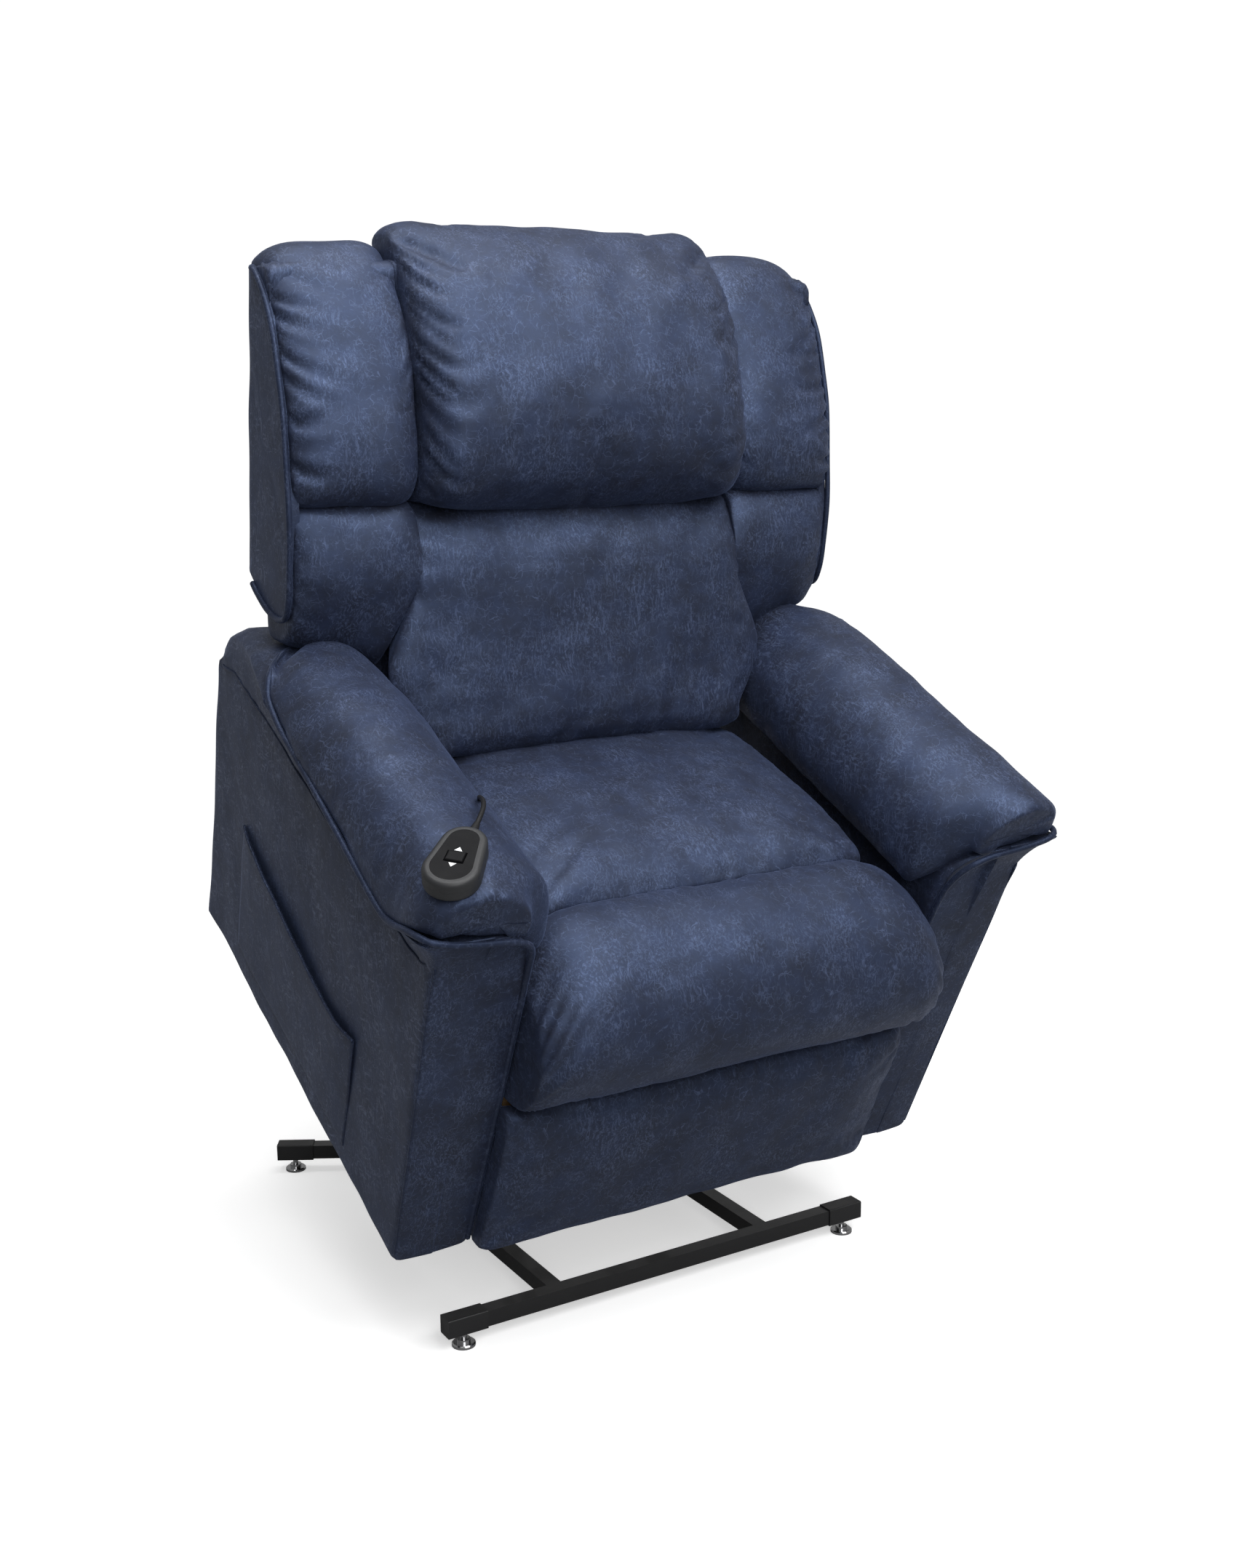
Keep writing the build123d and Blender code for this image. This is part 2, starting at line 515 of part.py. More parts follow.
def make_handset():
    bottom = extrude(handset_outline(0), SHELL_SPLIT)
    bottom = fillet(bottom.edges().group_by(Axis.Z)[0], 5)
    well = Pos(0, ROCKER_Y, 0) * Box(23, 18.5, 40, align=(Align.CENTER, Align.CENTER, Align.MIN))
    top = Pos(0, 0, SHELL_SPLIT + 0.1) * extrude(handset_outline(0), HANDSET_TOP - SHELL_SPLIT - 0.1)
    top = fillet(top.edges().group_by(Axis.Z)[-1], 6)
    recess = Pos(0, 0, HANDSET_TOP - 1.4) * extrude(handset_outline(9), 5)
    top -= recess
    top -= Pos(0, 0, SHELL_SPLIT + 2) * well
    axle = Pos(0, ROCKER_Y, ROCKER_Z) * Rot(0, 90, 0)
    top += axle * Cylinder(1.5, 24)
    plate = Pos(0, 0, HANDSET_TOP - 1.4) * extrude(handset_outline(9.3), 1.2) - well
    write("handset_bottom_shell", to_chair(HANDSET * bottom))
    write("handset_top_shell", to_chair(HANDSET * top))
    write("handset_face_plate", to_chair(HANDSET * plate))
    rocker = Pos(0, ROCKER_Y, 23.5) * Box(20.5, 16, 9)
    rocker = fillet(rocker.edges().group_by(Axis.Z)[-1], 2)
    rocker -= axle * Cylinder(1.55, 40)
    write("handset_rocker", to_chair(HANDSET * rocker))
    relief = Pos(0, NARROW_Y + NARROW_R + RELIEF / 2 - 0.2, CORD_Z) * Rot(-90, 0, 0) * Cone(6.2, 3.8, RELIEF)
    relief -= extrude(handset_outline(-0.1), HANDSET_TOP)
    write("handset_strain_relief", to_chair(HANDSET * relief))


# ---------------------------------------------------------------- handset cord
CORD_ROUTE = [
    (-344, 120, 681),
    (-336, 144, 668),
    (-323, 164, 650),
    (-307, 178, 628),
    (-290, 189, 603),
    (-271, 197, 578),
    (-260, 203, 550),
    (-256.5, 208, 521),
    (-258, 211, 492),
    (-265, 213, 464),
    (-274, 214, 438),
    (-280.6, 214.2, 412),
]
CORD_END = (-281, 214, 386)


def make_cord():
    tip = HANDSET * Pos(0, NARROW_Y + NARROW_R + RELIEF - 0.2, CORD_Z)
    straight = HANDSET * Pos(0, NARROW_Y + NARROW_R + RELIEF + 24.8, CORD_Z)
    points = [tip.position, straight.position] + [Vector(*p) for p in CORD_ROUTE + [CORD_END]]
    radii = []
    for before, here, after in zip(points, points[1:], points[2:]):
        first, second = here - before, after - here
        half_turn = math.radians(first.get_angle(second)) / 2
        radii.append(0.45 * min(first.length, second.length) / math.tan(half_turn))
    path = FilletPolyline(*points, radius=radii)
    tube = sweep(Plane(origin=path @ 0, z_dir=path % 0) * Circle(CORD_R), path=path)
    print("cord length", round(path.length, 1), "smallest radius", round(min(radii), 1))
    print("cord volume over section times length", tube.volume / (math.pi * CORD_R**2 * path.length))
    write("handset_cord", to_chair(tube))
    socket = block(-291, -271, 203, 225, 300, CORD_END[2])
    write("handset_socket", to_chair(socket))


def report_joints(actuator):
    """Print each joint's place at rest in metres, and the travel that goes with the lift or the recline."""
    angle, length, level = actuator
    places = {
        "lift": PIVOT_A,
        "chassis_tilt": B_UP,
        "lower_link": PIVOT_C,
        "actuator_swing": ACTUATOR_FOOT,
        "recline": raised(HINGE),
        "legrest_rear": raised(LEG_G),
        "legrest_elbow": raised(E_STOWED),
        "legrest_panel": raised(LEG_M_STOWED),
    }
    for name, (y, z) in places.items():
        print("joint", name, round((y - ORIGIN_Y) / 1000, 6), round(z / 1000, 6))

    def short(turned):
        return (turned + 180) % 360 - 180

    upper = short(bearing(PIVOT_A, PIVOT_B) - bearing(PIVOT_A, B_UP))
    lower = short(bearing(PIVOT_C, PIVOT_D) - bearing(PIVOT_C, D_UP))
    swing = short(bearing(ACTUATOR_FOOT, HEAD_LEVEL) - angle)
    rear = short(bearing(LEG_G, E_OUT) - bearing(LEG_G, E_STOWED))
    front = short(bearing(E_OUT, LEG_M_OUT) - bearing(E_STOWED, LEG_M_STOWED))
    print("travel lift", upper, "chassis", -TILT - upper, "lower", lower)
    print("travel actuator swing", swing, "extend", (level - length) / 1000)
    print("travel legrest rear", rear, "elbow", front - rear, "panel", -90 - front, "recline", RECLINE)
    print("actuator direction", 0, math.cos(math.radians(angle)), math.sin(math.radians(angle)))
    rocker = to_chair(HANDSET * Pos(0, ROCKER_Y, ROCKER_Z) * Box(1, 1, 1)).center()
    across = to_chair(HANDSET * Pos(100, ROCKER_Y, ROCKER_Z) * Box(1, 1, 1)).center() - rocker
    print("joint rocker", *[round(v / 1000, 6) for v in rocker])
    print("joint rocker axis", *[round(v / 100, 6) for v in across])


make_base()
make_posts()
make_links()
ACTUATOR = make_actuator()
make_chassis()
make_seat()
make_arms()
make_back()
make_hinges()
make_legrest()
make_handset()
make_cord()
report_joints(ACTUATOR)
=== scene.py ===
"""Looks of the lift recliner chair. Lengths are millimetres until chair() turns them into metres."""

import json
import math

import bpy
import numpy as np
from mathutils import Matrix


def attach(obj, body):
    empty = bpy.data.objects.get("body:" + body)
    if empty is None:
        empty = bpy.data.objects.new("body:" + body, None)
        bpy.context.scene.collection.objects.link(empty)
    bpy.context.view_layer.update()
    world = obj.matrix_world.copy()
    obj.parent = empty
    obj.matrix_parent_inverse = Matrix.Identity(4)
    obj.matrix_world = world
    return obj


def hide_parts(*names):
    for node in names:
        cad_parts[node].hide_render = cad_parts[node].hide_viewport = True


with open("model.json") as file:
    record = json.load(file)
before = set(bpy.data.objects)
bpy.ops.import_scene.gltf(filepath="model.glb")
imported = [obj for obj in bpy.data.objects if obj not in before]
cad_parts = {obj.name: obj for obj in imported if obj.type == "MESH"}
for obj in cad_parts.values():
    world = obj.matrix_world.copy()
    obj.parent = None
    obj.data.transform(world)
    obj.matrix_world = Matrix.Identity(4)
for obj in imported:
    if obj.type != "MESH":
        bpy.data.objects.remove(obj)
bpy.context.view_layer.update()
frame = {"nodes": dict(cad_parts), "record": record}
nodes = frame["nodes"]
TILT, LEAN = math.radians(24.1), math.radians(15.4)
ORIGIN_Y, RAISE_Y, RAISE_Z = 199.0, 6.0, 104.0
HINGE_Y, HINGE_Z = 680.0, 612.0  # foot of the back's rear face, on the level chair

# Where each cover ends across the chair, from the middle.
PILLOW_HALF, BOLSTER_START, WING_START, SIDE_END = 250.0, 251.0, 257.0, 421.0
LUMBAR_HALF, SEAT_HALF, ROLL_HALF, LEGREST_HALF = 261.0, 252.0, 305.0, 309.0
FRAME_OUT = 60.0  # the back's covers meet its frame this far out of its rear face

ARM_LENGTH, PAD_FRONT, PAD_REAR, PAD_FOOT = 745.0, -33.0, 606.0, 515.0
PIPING_R, ARM_SEAM_R, HEM_R = 4.2, 1.7, 2.6
HANDSET_TURN, HANDSET_TIP, HANDSET_AT = math.radians(-42.2), math.radians(-12.4), (-416, 25.4, 661.4)


# ---------------- places
def about_x(p, angle):
    """Points turned about the X axis."""
    c, s = math.cos(angle), math.sin(angle)
    return np.stack((p[..., 0], p[..., 1] * c - p[..., 2] * s, p[..., 1] * s + p[..., 2] * c), -1)


def chair(p):
    """A point of the level chair, in millimetres, as it stands raised, in metres."""
    return (about_x(np.asarray(p, float), TILT) + (0, RAISE_Y - ORIGIN_Y, RAISE_Z)) / 1000


def back(p):
    """A point of the back, given as (x, height along the back, distance out of its rear face)."""
    p = np.asarray(p, float)
    q = np.stack((p[..., 0], -p[..., 2], p[..., 1]), -1)
    return chair(about_x(q, -LEAN) + (0, HINGE_Y, HINGE_Z))


# ---------------- camera
def set_camera():
    az, el, roll = math.radians(-31.0), math.radians(11.82), math.radians(-0.62)
    behind = np.array((math.sin(az) * math.cos(el), -math.cos(az) * math.cos(el), math.sin(el)))
    right = np.cross(-behind, (0, 0, 1))
    right /= np.linalg.norm(right)
    up = np.cross(behind, right)
    side = right * math.cos(roll) + up * math.sin(roll)
    top = up * math.cos(roll) - right * math.sin(roll)
    data = bpy.data.cameras.new("camera")
    data.lens, data.sensor_width, data.sensor_fit = 41.31, 36.0, "AUTO"
    data.clip_end = 50
    cam = bpy.data.objects.new("camera", data)
    place = np.eye(4)
    place[:3, 0], place[:3, 1], place[:3, 2] = side, top, behind
    place[:3, 3] = (-1.2498, -1.9939 - ORIGIN_Y / 1000, 1.2178)
    bpy.context.collection.objects.link(cam)
    cam.matrix_world = Matrix(place.tolist())
    bpy.context.scene.camera = cam


set_camera()


# ---------------- materials
class Nodes:
    """A short way to write a material's node tree."""

    def __init__(self, name):
        self.mat = bpy.data.materials.new(name)
        self.mat.use_nodes = True
        self.tree = self.mat.node_tree
        self.tree.nodes.clear()
        self.out = self.tree.nodes.new("ShaderNodeOutputMaterial")
        self.bsdf = self.tree.nodes.new("ShaderNodeBsdfPrincipled")
        self.link(self.bsdf.outputs[0], self.out.inputs[0])
        self.coord = self.tree.nodes.new("ShaderNodeTexCoord").outputs["Object"]

    def link(self, a, b):
        self.tree.links.new(a, b)

    def node(self, kind, inputs=None, **settings):
        n = self.tree.nodes.new("ShaderNode" + kind)
        for key, value in settings.items():
            setattr(n, key, value)
        for key, value in (inputs or {}).items():
            if isinstance(value, bpy.types.NodeSocket):
                self.link(value, n.inputs[key])
            else:
                n.inputs[key].default_value = value
        return n

    def noise(self, scale, detail=3.0, rough=0.55, vector=None, distortion=0.0):
        inputs = {"Scale": scale, "Detail": detail, "Roughness": rough, "Distortion": distortion}
        inputs["Vector"] = self.coord if vector is None else vector
        return self.node("TexNoise", inputs).outputs["Fac"]

    def math(self, op, a, b):
        return self.node("Math", {0: a, 1: b}, operation=op).outputs[0]

    def ramp(self, value, low, high, a=0.0, b=1.0):
        inputs = {0: value, 1: low, 2: high, 3: a, 4: b}
        return self.node("MapRange", inputs, interpolation_type="SMOOTHSTEP").outputs[0]

    def mix(self, fac, a, b):
        n = self.node("Mix", {0: fac}, data_type="RGBA")
        for i, value in ((6, a), (7, b)):
            if isinstance(value, bpy.types.NodeSocket):
                self.link(value, n.inputs[i])
            else:
                n.inputs[i].default_value = (*value, 1.0)
        return n.outputs[2]

    def bump(self, height, strength, distance, normal=None):
        inputs = {"Strength": strength, "Distance": distance, "Height": height}
        if normal is not None:
            inputs["Normal"] = normal
        return self.node("Bump", inputs).outputs[0]

    def set(self, **values):
        for key, value in values.items():
            name = key.replace("_", " ")
            if isinstance(value, bpy.types.NodeSocket):
                self.link(value, self.bsdf.inputs[name])
            else:
                self.bsdf.inputs[name].default_value = value
        return self.mat


def fabric(name, base=(0.0122, 0.0127, 0.0182), light=(0.026, 0.040, 0.092), shine=0.55):
    """Distressed microfibre: dark navy, streaked and crackled with fine paler lines, with a satin shine."""
    m = Nodes(name)
    field = m.node("TexNoise", {"Vector": m.coord, "Scale": 22.0, "Detail": 4.0}).outputs[1]
    bend = {0: field, 1: (0.03, 0.03, 0.03), 2: m.coord}
    bent = m.node("VectorMath", bend, operation="MULTIPLY_ADD").outputs[0]
    lines = []
    for scale, width in ((70.0, 0.035), (120.0, 0.05)):
        cell = m.node("TexVoronoi", {"Vector": bent, "Scale": scale}, feature="DISTANCE_TO_EDGE")
        lines.append(m.ramp(cell.outputs[0], 0.0, width, 1.0, 0.0))
    broken = m.ramp(m.noise(75.0, 3.0, 0.6), 0.45, 0.62)
    finer = m.ramp(m.noise(90.0, 3.0, 0.6, distortion=0.3), 0.48, 0.62)
    crackle = m.math("MAXIMUM", m.math("MULTIPLY", lines[0], broken), m.math("MULTIPLY", lines[1], finer))
    streaks = 0.0
    for stretch in ((380.0, 380.0, 30.0), (420.0, 45.0, 240.0)):
        long = m.node("VectorMath", {0: bent, 1: stretch}, operation="MULTIPLY").outputs[0]
        hair = m.ramp(m.noise(1.0, 3.0, 0.6, vector=long), 0.50, 0.72)
        streaks = m.math("MAXIMUM", hair, streaks)
    streaks = m.math("MULTIPLY", streaks, m.ramp(m.noise(17.0, 3.0), 0.38, 0.62))
    clouds = m.ramp(m.noise(30.0, 5.0, 0.68), 0.3, 0.72)
    broad = m.ramp(m.noise(7.0, 3.0), 0.3, 0.7)
    nap = m.noise(520.0, 2.0, 0.6)
    tone = m.math("ADD", m.math("MULTIPLY", clouds, 0.34), m.math("MULTIPLY", broad, 0.14))
    colour = m.mix(tone, base, light)
    worn = m.math("MAXIMUM", m.math("MULTIPLY", crackle, 0.46), m.math("MULTIPLY", streaks, 0.58))
    colour = m.mix(worn, colour, (light[0] * 3.6, light[1] * 3.1, light[2] * 2.4))
    colour = m.mix(m.math("MULTIPLY", nap, 0.35), colour, base)
    first = m.bump(nap, 0.22, 0.0006)
    second = m.bump(worn, 0.16, 0.0008, first)
    normal = m.bump(m.noise(48.0, 3.0), 0.14, 0.003, second)
    m.set(Base_Color=colour, Roughness=m.ramp(worn, 0.0, 0.45, 0.52, 0.40), Normal=normal)
    m.bsdf.inputs["Specular IOR Level"].default_value = shine
    m.bsdf.inputs["Specular Tint"].default_value = (0.42, 0.58, 1.0, 1.0)
    m.bsdf.inputs["Sheen Weight"].default_value = 0.10
    m.bsdf.inputs["Sheen Roughness"].default_value = 0.35
    m.bsdf.inputs["Sheen Tint"].default_value = (0.36, 0.50, 0.95, 1.0)
    return m.mat


def hard(name, colour, rough, metal=0.0, grain=700.0, depth=0.05, coat=0.0, shine=0.5):
    """Paint, plastic, rubber or bare metal, with a fine grain and a little uneven gloss."""
    vary = 0.12
    m = Nodes(name)
    fine = m.noise(grain, 3.0)
    broad = m.noise(22.0, 4.0)
    dull = m.mix(m.math("MULTIPLY", broad, 0.5), colour, tuple(c * 0.6 for c in colour))
    m.set(Base_Color=dull, Metallic=metal)
    m.set(Roughness=m.ramp(m.noise(35.0, 4.0), 0.3, 0.7, rough * (1 - vary), min(1.0, rough * (1 + vary))))
    m.set(Normal=m.bump(fine, depth, 0.0006))
    m.bsdf.inputs["Coat Weight"].default_value = coat
    m.bsdf.inputs["Specular IOR Level"].default_value = shine
    return m.mat


def timber(name):
    m = Nodes(name)
    long = m.node("VectorMath", {0: m.coord, 1: (60.0, 4.0, 60.0)}, operation="MULTIPLY").outputs[0]
    grain = m.noise(1.0, 6.0, 0.65, vector=long, distortion=0.6)
    colour = m.mix(m.ramp(grain, 0.3, 0.7), (0.58, 0.40, 0.22), (0.42, 0.26, 0.12))
    m.set(Base_Color=colour, Roughness=0.6, Normal=m.bump(grain, 0.2, 0.001))
    return m.mat


NAVY = fabric("navy_fabric")
PIPING = fabric("navy_piping", base=(0.009, 0.011, 0.020), light=(0.018, 0.026, 0.058), shine=0.45)
STEEL = hard("black_steel", (0.011, 0.011, 0.012), 0.36, coat=0.15)
BLACK = hard("black_plastic", (0.014, 0.014, 0.015), 0.42, grain=1400.0, depth=0.12)
CHROME = hard("glide_chrome", (0.55, 0.55, 0.56), 0.16, metal=1.0)
ZINC = hard("zinc_steel", (0.42, 0.42, 0.43), 0.38, metal=1.0)
PINE = timber("pine")
SHELL = hard("handset_grey", (0.020, 0.021, 0.023), 0.50, grain=1600.0, depth=0.15, shine=0.4)
FACE = hard("face_grey", (0.006, 0.006, 0.007), 0.50, grain=1600.0, depth=0.1, shine=0.1)
RUBBER = hard("rubber_black", (0.008, 0.008, 0.009), 0.55, shine=0.25)
WHITE = hard("print_white", (0.78, 0.79, 0.80), 0.5)
BY_SLOT = {"navy_fabric": NAVY, "black_steel": STEEL, "black_plastic": BLACK, "glide_chrome": CHROME}
BY_SLOT.update(zinc_steel=ZINC, pine=PINE, handset_grey=SHELL, face_grey=FACE, rubber_black=RUBBER)
for part in frame["record"]["subparts"]:
    mesh = nodes[part["node"]].data
    mesh.materials.clear()
    mesh.materials.append(BY_SLOT[part["material_slot"]])


# ---------------- meshes
def face_outward(mesh):
    """Flip a closed or nearly closed mesh whose faces look inward."""
    centre = np.mean([v.co for v in mesh.vertices], 0)
    total = sum(f.area * f.normal.dot(tuple(np.array(f.center) - centre)) for f in mesh.polygons)
    if total < 0:
        mesh.flip_normals()


def add_mesh(name, verts, faces, material, body, smooth=True, hides=()):
    mesh = bpy.data.meshes.new(name)
    mesh.from_pydata([tuple(v) for v in verts], [], [tuple(f) for f in faces])
    mesh.validate()
    face_outward(mesh)
    mesh.materials.append(material)
    mesh.polygons.foreach_set("use_smooth", [smooth] * len(mesh.polygons))
    obj = bpy.data.objects.new(name, mesh)
    bpy.context.collection.objects.link(obj)
    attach(obj, body)
    if hides:
        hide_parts(*hides)
    return obj


def ring_faces(rows, around, caps=True):
    """The faces of rows of points that each close into a ring."""
    i, j = np.meshgrid(np.arange(rows - 1), np.arange(around), indexing="ij")
    k = (j + 1) % around
    faces = np.stack((i * around + j, i * around + k, (i + 1) * around + k, (i + 1) * around + j), -1)
    faces = [tuple(f) for f in faces.reshape(-1, 4)]
    if caps:
        faces.append(tuple(range(around - 1, -1, -1)))
        faces.append(tuple((rows - 1) * around + q for q in range(around)))
    return faces


def curve(points, counts, closed=True):
    """A smooth line through control points, with counts[i] samples on its i-th stretch."""
    p = np.asarray(points, float)
    k = len(p)
    out = []
    for i in range(k if closed else k - 1):
        four = [p[(i + o) % k] if closed else p[min(max(i + o, 0), k - 1)] for o in (-1, 0, 1, 2)]
        span = max(np.linalg.norm(four[2] - four[1]), 1e-6)
        before = (four[2] - four[0]) / 2
        after = (four[3] - four[1]) / 2
        for tangent in (before, after):
            size = np.linalg.norm(tangent)
            if size > span:
                tangent *= span / size
        t = np.linspace(0, 1, counts[i], endpoint=False)[:, None]
        h = (2 * t**3 - 3 * t**2 + 1, t**3 - 2 * t**2 + t, -2 * t**3 + 3 * t**2, t**3 - t**2)
        out.append(h[0] * four[1] + h[1] * before + h[2] * four[2] + h[3] * after)
    if not closed:
        out.append(p[-1:])
    return np.vstack(out)


def counts_for(points, step, closed=True):
    """How many samples each stretch of a line needs to be about step apart."""
    p = np.asarray(points, float)
    ends = np.roll(p, -1, 0) if closed else p[1:]
    return [max(2, int(round(np.linalg.norm(b - a) / step))) for a, b in zip(p, ends)]


def noise_field(p, seed, wave):
    """A smooth pseudo-random number between about -1 and 1 for each point."""
    rng = np.random.default_rng(seed)
    total = np.zeros(p.shape[:-1])
    n = 10
    for _ in range(n):
        direction = rng.normal(size=p.shape[-1])
        direction /= np.linalg.norm(direction)
        length = wave * rng.uniform(0.6, 1.7)
        total += np.sin(p @ direction * (2 * math.pi / length) + rng.uniform(0, 2 * math.pi))
    return total / math.sqrt(n)


def grid_normals(p):
    """Outward normals of a grid that closes around its second axis."""
    along = np.gradient(p, axis=0)
    around = np.roll(p, -1, 1) - np.roll(p, 1, 1)
    n = np.cross(around, along)
    n /= np.maximum(np.linalg.norm(n, axis=-1, keepdims=True), 1e-9)
    centre = p.mean((0, 1))
    return n if np.einsum("ijk,ijk->", n, p - centre) > 0 else -n


def surface_lengths(p):
    """Distance along the surface from the first row, and around it from the first column."""
    rows = np.linalg.norm(np.diff(p, axis=0), axis=-1)
    down = np.vstack((np.zeros((1, p.shape[1])), np.cumsum(rows, 0)))
    cols = np.linalg.norm(np.diff(p, axis=1), axis=-1)
    across = np.hstack((np.zeros((p.shape[0], 1)), np.cumsum(cols, 1)))
    return down, across


def gathers(dist, pos, low, high, seed, pitch, reach, depth, slant=0.25, width=(4.5, 8)):
    """Puckers that run away from a seam: dist from the seam, pos along it, between low and high.

    pitch is their spacing; reach, depth and width are ranges of length, height and half width.
    """
    rng = np.random.default_rng(seed)
    total = np.zeros(dist.shape)
    place = low + rng.uniform(0, pitch)
    while place < high:
        long, deep = rng.uniform(*reach), rng.uniform(*depth)
        wide, lean, bow = rng.uniform(*width), rng.normal(0, slant), rng.normal(0, 0.0012)
        line = place + lean * dist + bow * dist**2
        wide = wide * (1 + dist / long * 0.7)
        fade = np.clip(1 - dist / long, 0, 1) ** 1.3 * np.clip(dist / 3.0, 0, 1)
        off = (pos - line) / wide
        total -= deep * fade * np.exp(-(off**2))
        total += deep * 0.45 * fade * np.exp(-((np.abs(off) - 1.9) ** 2) / 0.7)
        place += pitch * rng.uniform(0.55, 1.5)
    return total


def end_rows(p, steps=5):
    """Close a grid's two ends with rings that shrink almost to a point."""
    out = [p]
    for row, last in ((p[0], False), (p[-1], True)):
        centre = row.mean(0)
        rings = [centre + (row - centre) * f for f in np.linspace(1, 0.04, steps + 1)[1:]]
        block = np.stack(rings)
        out = out + [block] if last else [block[::-1]] + out
    return np.concatenate(out)


def stations(x0, x1, r0, r1, step=7.0, turns=12):
    """Places along a pad, closer together where its two ends round over."""
    left = x0 + r0 * (1 - np.cos(np.linspace(0, math.pi / 2, turns)))
    right = x1 - r1 * (1 - np.cos(np.linspace(0, math.pi / 2, turns)))[::-1]
    middle = np.linspace(left[-1], right[0], max(3, int((right[0] - left[-1]) / step)))[1:-1]
    return np.concatenate((left, middle, right))


def round_over(d, r):
    """0 at a pad's end, rising like a quarter circle to 1 at r from it."""
    return np.sqrt(np.clip(1 - (1 - np.clip(d / r, 0, 1)) ** 2, 0, 1))


def pad_grid(first, middle, last, x0, x1, r0, r1, step=6.0):
    """Loft (a, b) outlines with matching points along x: first and last are its ends."""
    counts = counts_for(middle, step)
    xs = stations(x0, x1, r0, r1)
    first, middle, last = (np.asarray(q, float) for q in (first, middle, last))
    rows = []
    for x in xs:
        f, g = round_over(x - x0, r0), round_over(x1 - x, r1)
        outline = middle + (first - middle) * (1 - f) + (last - middle) * (1 - g)
        ring = curve(outline[:, :2], counts)
        extra = curve(outline[:, 2:], counts) if outline.shape[1] > 2 else 0
        wide = np.full((len(ring), 1), x) + extra
        rows.append(np.hstack((wide, ring)))
    return np.stack(rows)


def enlarge(field, rows, cols):
    """Resample a coarse grid, closed around its second axis, to rows by cols."""

    def weights(t):
        inner = (2 - 5 * t**2 + 3 * t**3) / 2, (t + 4 * t**2 - 3 * t**3) / 2
        return (-t + 2 * t**2 - t**3) / 2, *inner, (t**3 - t**2) / 2

    m, n = field.shape[:2]
    at_row = np.linspace(0, m - 1, rows)
    low = np.minimum(at_row.astype(int), m - 2)
    w = weights((at_row - low)[:, None, None])
    field = sum(w[k] * field[np.clip(low + k - 1, 0, m - 1)] for k in range(4))
    at_col = np.arange(cols) * n / cols
    low = at_col.astype(int)
    w = weights((at_col - low)[None, :, None])
    return sum(w[k] * field[:, (low + k - 1) % n] for k in range(4))


def settle(name, grid, held, slack, pressure=3.0, cap=18.0):
    """Blow a cover up as cloth, moving no point more than about cap.

    held is 1 where the cover is sewn or hidden, and slack is how much longer it is than its seam.
    """
    spacing, frames, stiff = 9.5, 16, 12.0
    down, across = surface_lengths(grid)
    m = max(8, int(np.median(down[-1]) / spacing))
    n = max(12, int(np.median(across[:, -1]) / spacing))
    rows, cols = grid.shape[:2]
    pick = np.interp(np.linspace(0, 1, m), np.linspace(0, 1, rows), np.arange(rows)).round().astype(int)
    turn = (np.arange(n) * cols / n).round().astype(int) % cols
    small = grid[np.ix_(pick, turn)]
    hold, loose = held[np.ix_(pick, turn)].ravel(), slack[np.ix_(pick, turn)].ravel()
    mesh = bpy.data.meshes.new(name + "_cloth")
    faces = ring_faces(m, n, caps=False)
    mesh.from_pydata([tuple(v) for v in (small / 1000).reshape(-1, 3)], [], faces)
    mesh.validate()
    face_outward(mesh)
    obj = bpy.data.objects.new(name + "_cloth", mesh)
    bpy.context.collection.objects.link(obj)
    for label, values in (("pin", hold), ("slack", loose / max(loose.max(), 1e-6))):
        group = obj.vertex_groups.new(name=label)
        for i, value in enumerate(values):
            if value > 0.001:
                group.add([i], float(value), "REPLACE")
    cloth = obj.modifiers.new("cloth", "CLOTH")
    s = cloth.settings
    s.quality, s.mass, s.air_damping = 6, 0.25, 4.0
    s.tension_stiffness, s.compression_stiffness = stiff, stiff
    s.shear_stiffness, s.bending_stiffness = stiff * 0.4, 0.35
    s.vertex_group_mass, s.vertex_group_shrink = "pin", "slack"
    s.shrink_min, s.shrink_max = 0.0, -float(loose.max())
    s.use_pressure, s.uniform_pressure_force = True, pressure
    s.effector_weights.gravity = 0.0
    cloth.collision_settings.use_collision = False
    scene = bpy.context.scene
    for frame_number in range(1, frames + 1):
        scene.frame_set(frame_number)
    done = obj.evaluated_get(bpy.context.evaluated_depsgraph_get()).data
    flat = np.empty(m * n * 3, np.float32)
    done.vertices.foreach_get("co", flat)
    moved = flat.reshape(m, n, 3) * 1000.0 - small
    size = np.linalg.norm(moved, axis=-1, keepdims=True)
    moved = moved * np.where(size > 1e-6, cap * np.tanh(size / cap) / np.maximum(size, 1e-6), 1.0)
    bpy.data.objects.remove(obj)
    bpy.data.meshes.remove(mesh)
    scene.frame_set(1)
    print("settled", name, m, n, "mean move", f"{size.mean():.2f}", "most", f"{size.max():.2f}")
    return grid + enlarge(moved, rows, cols)


EVEN_WAVES = ((1, 130, 1.6), (2, 55, 0.5))  # seed, wave length and height of each


def finish_pad(name, grid, place, body, hides=(), folds=None, waves=EVEN_WAVES, cloth=None):
    """Blow the cover up as cloth where it is padded, add folds and unevenness, and make the mesh."""
    if cloth is not None:
        grid = settle(name, grid, *cloth(grid))
    across = surface_lengths(grid)[1]
    normal = grid_normals(grid)
    lift = np.zeros(grid.shape[:2])
    for seed, wave, height in waves:
        lift += height * noise_field(grid, seed, wave)
    if folds is not None:
        lift += folds(grid, across)
    grid = grid + normal * lift[..., None]
    grid = end_rows(grid)
    verts = place(grid.reshape(-1, 3))
    obj = add_mesh(name, verts, ring_faces(*grid.shape[:2]), NAVY, body, hides=hides)
    return obj


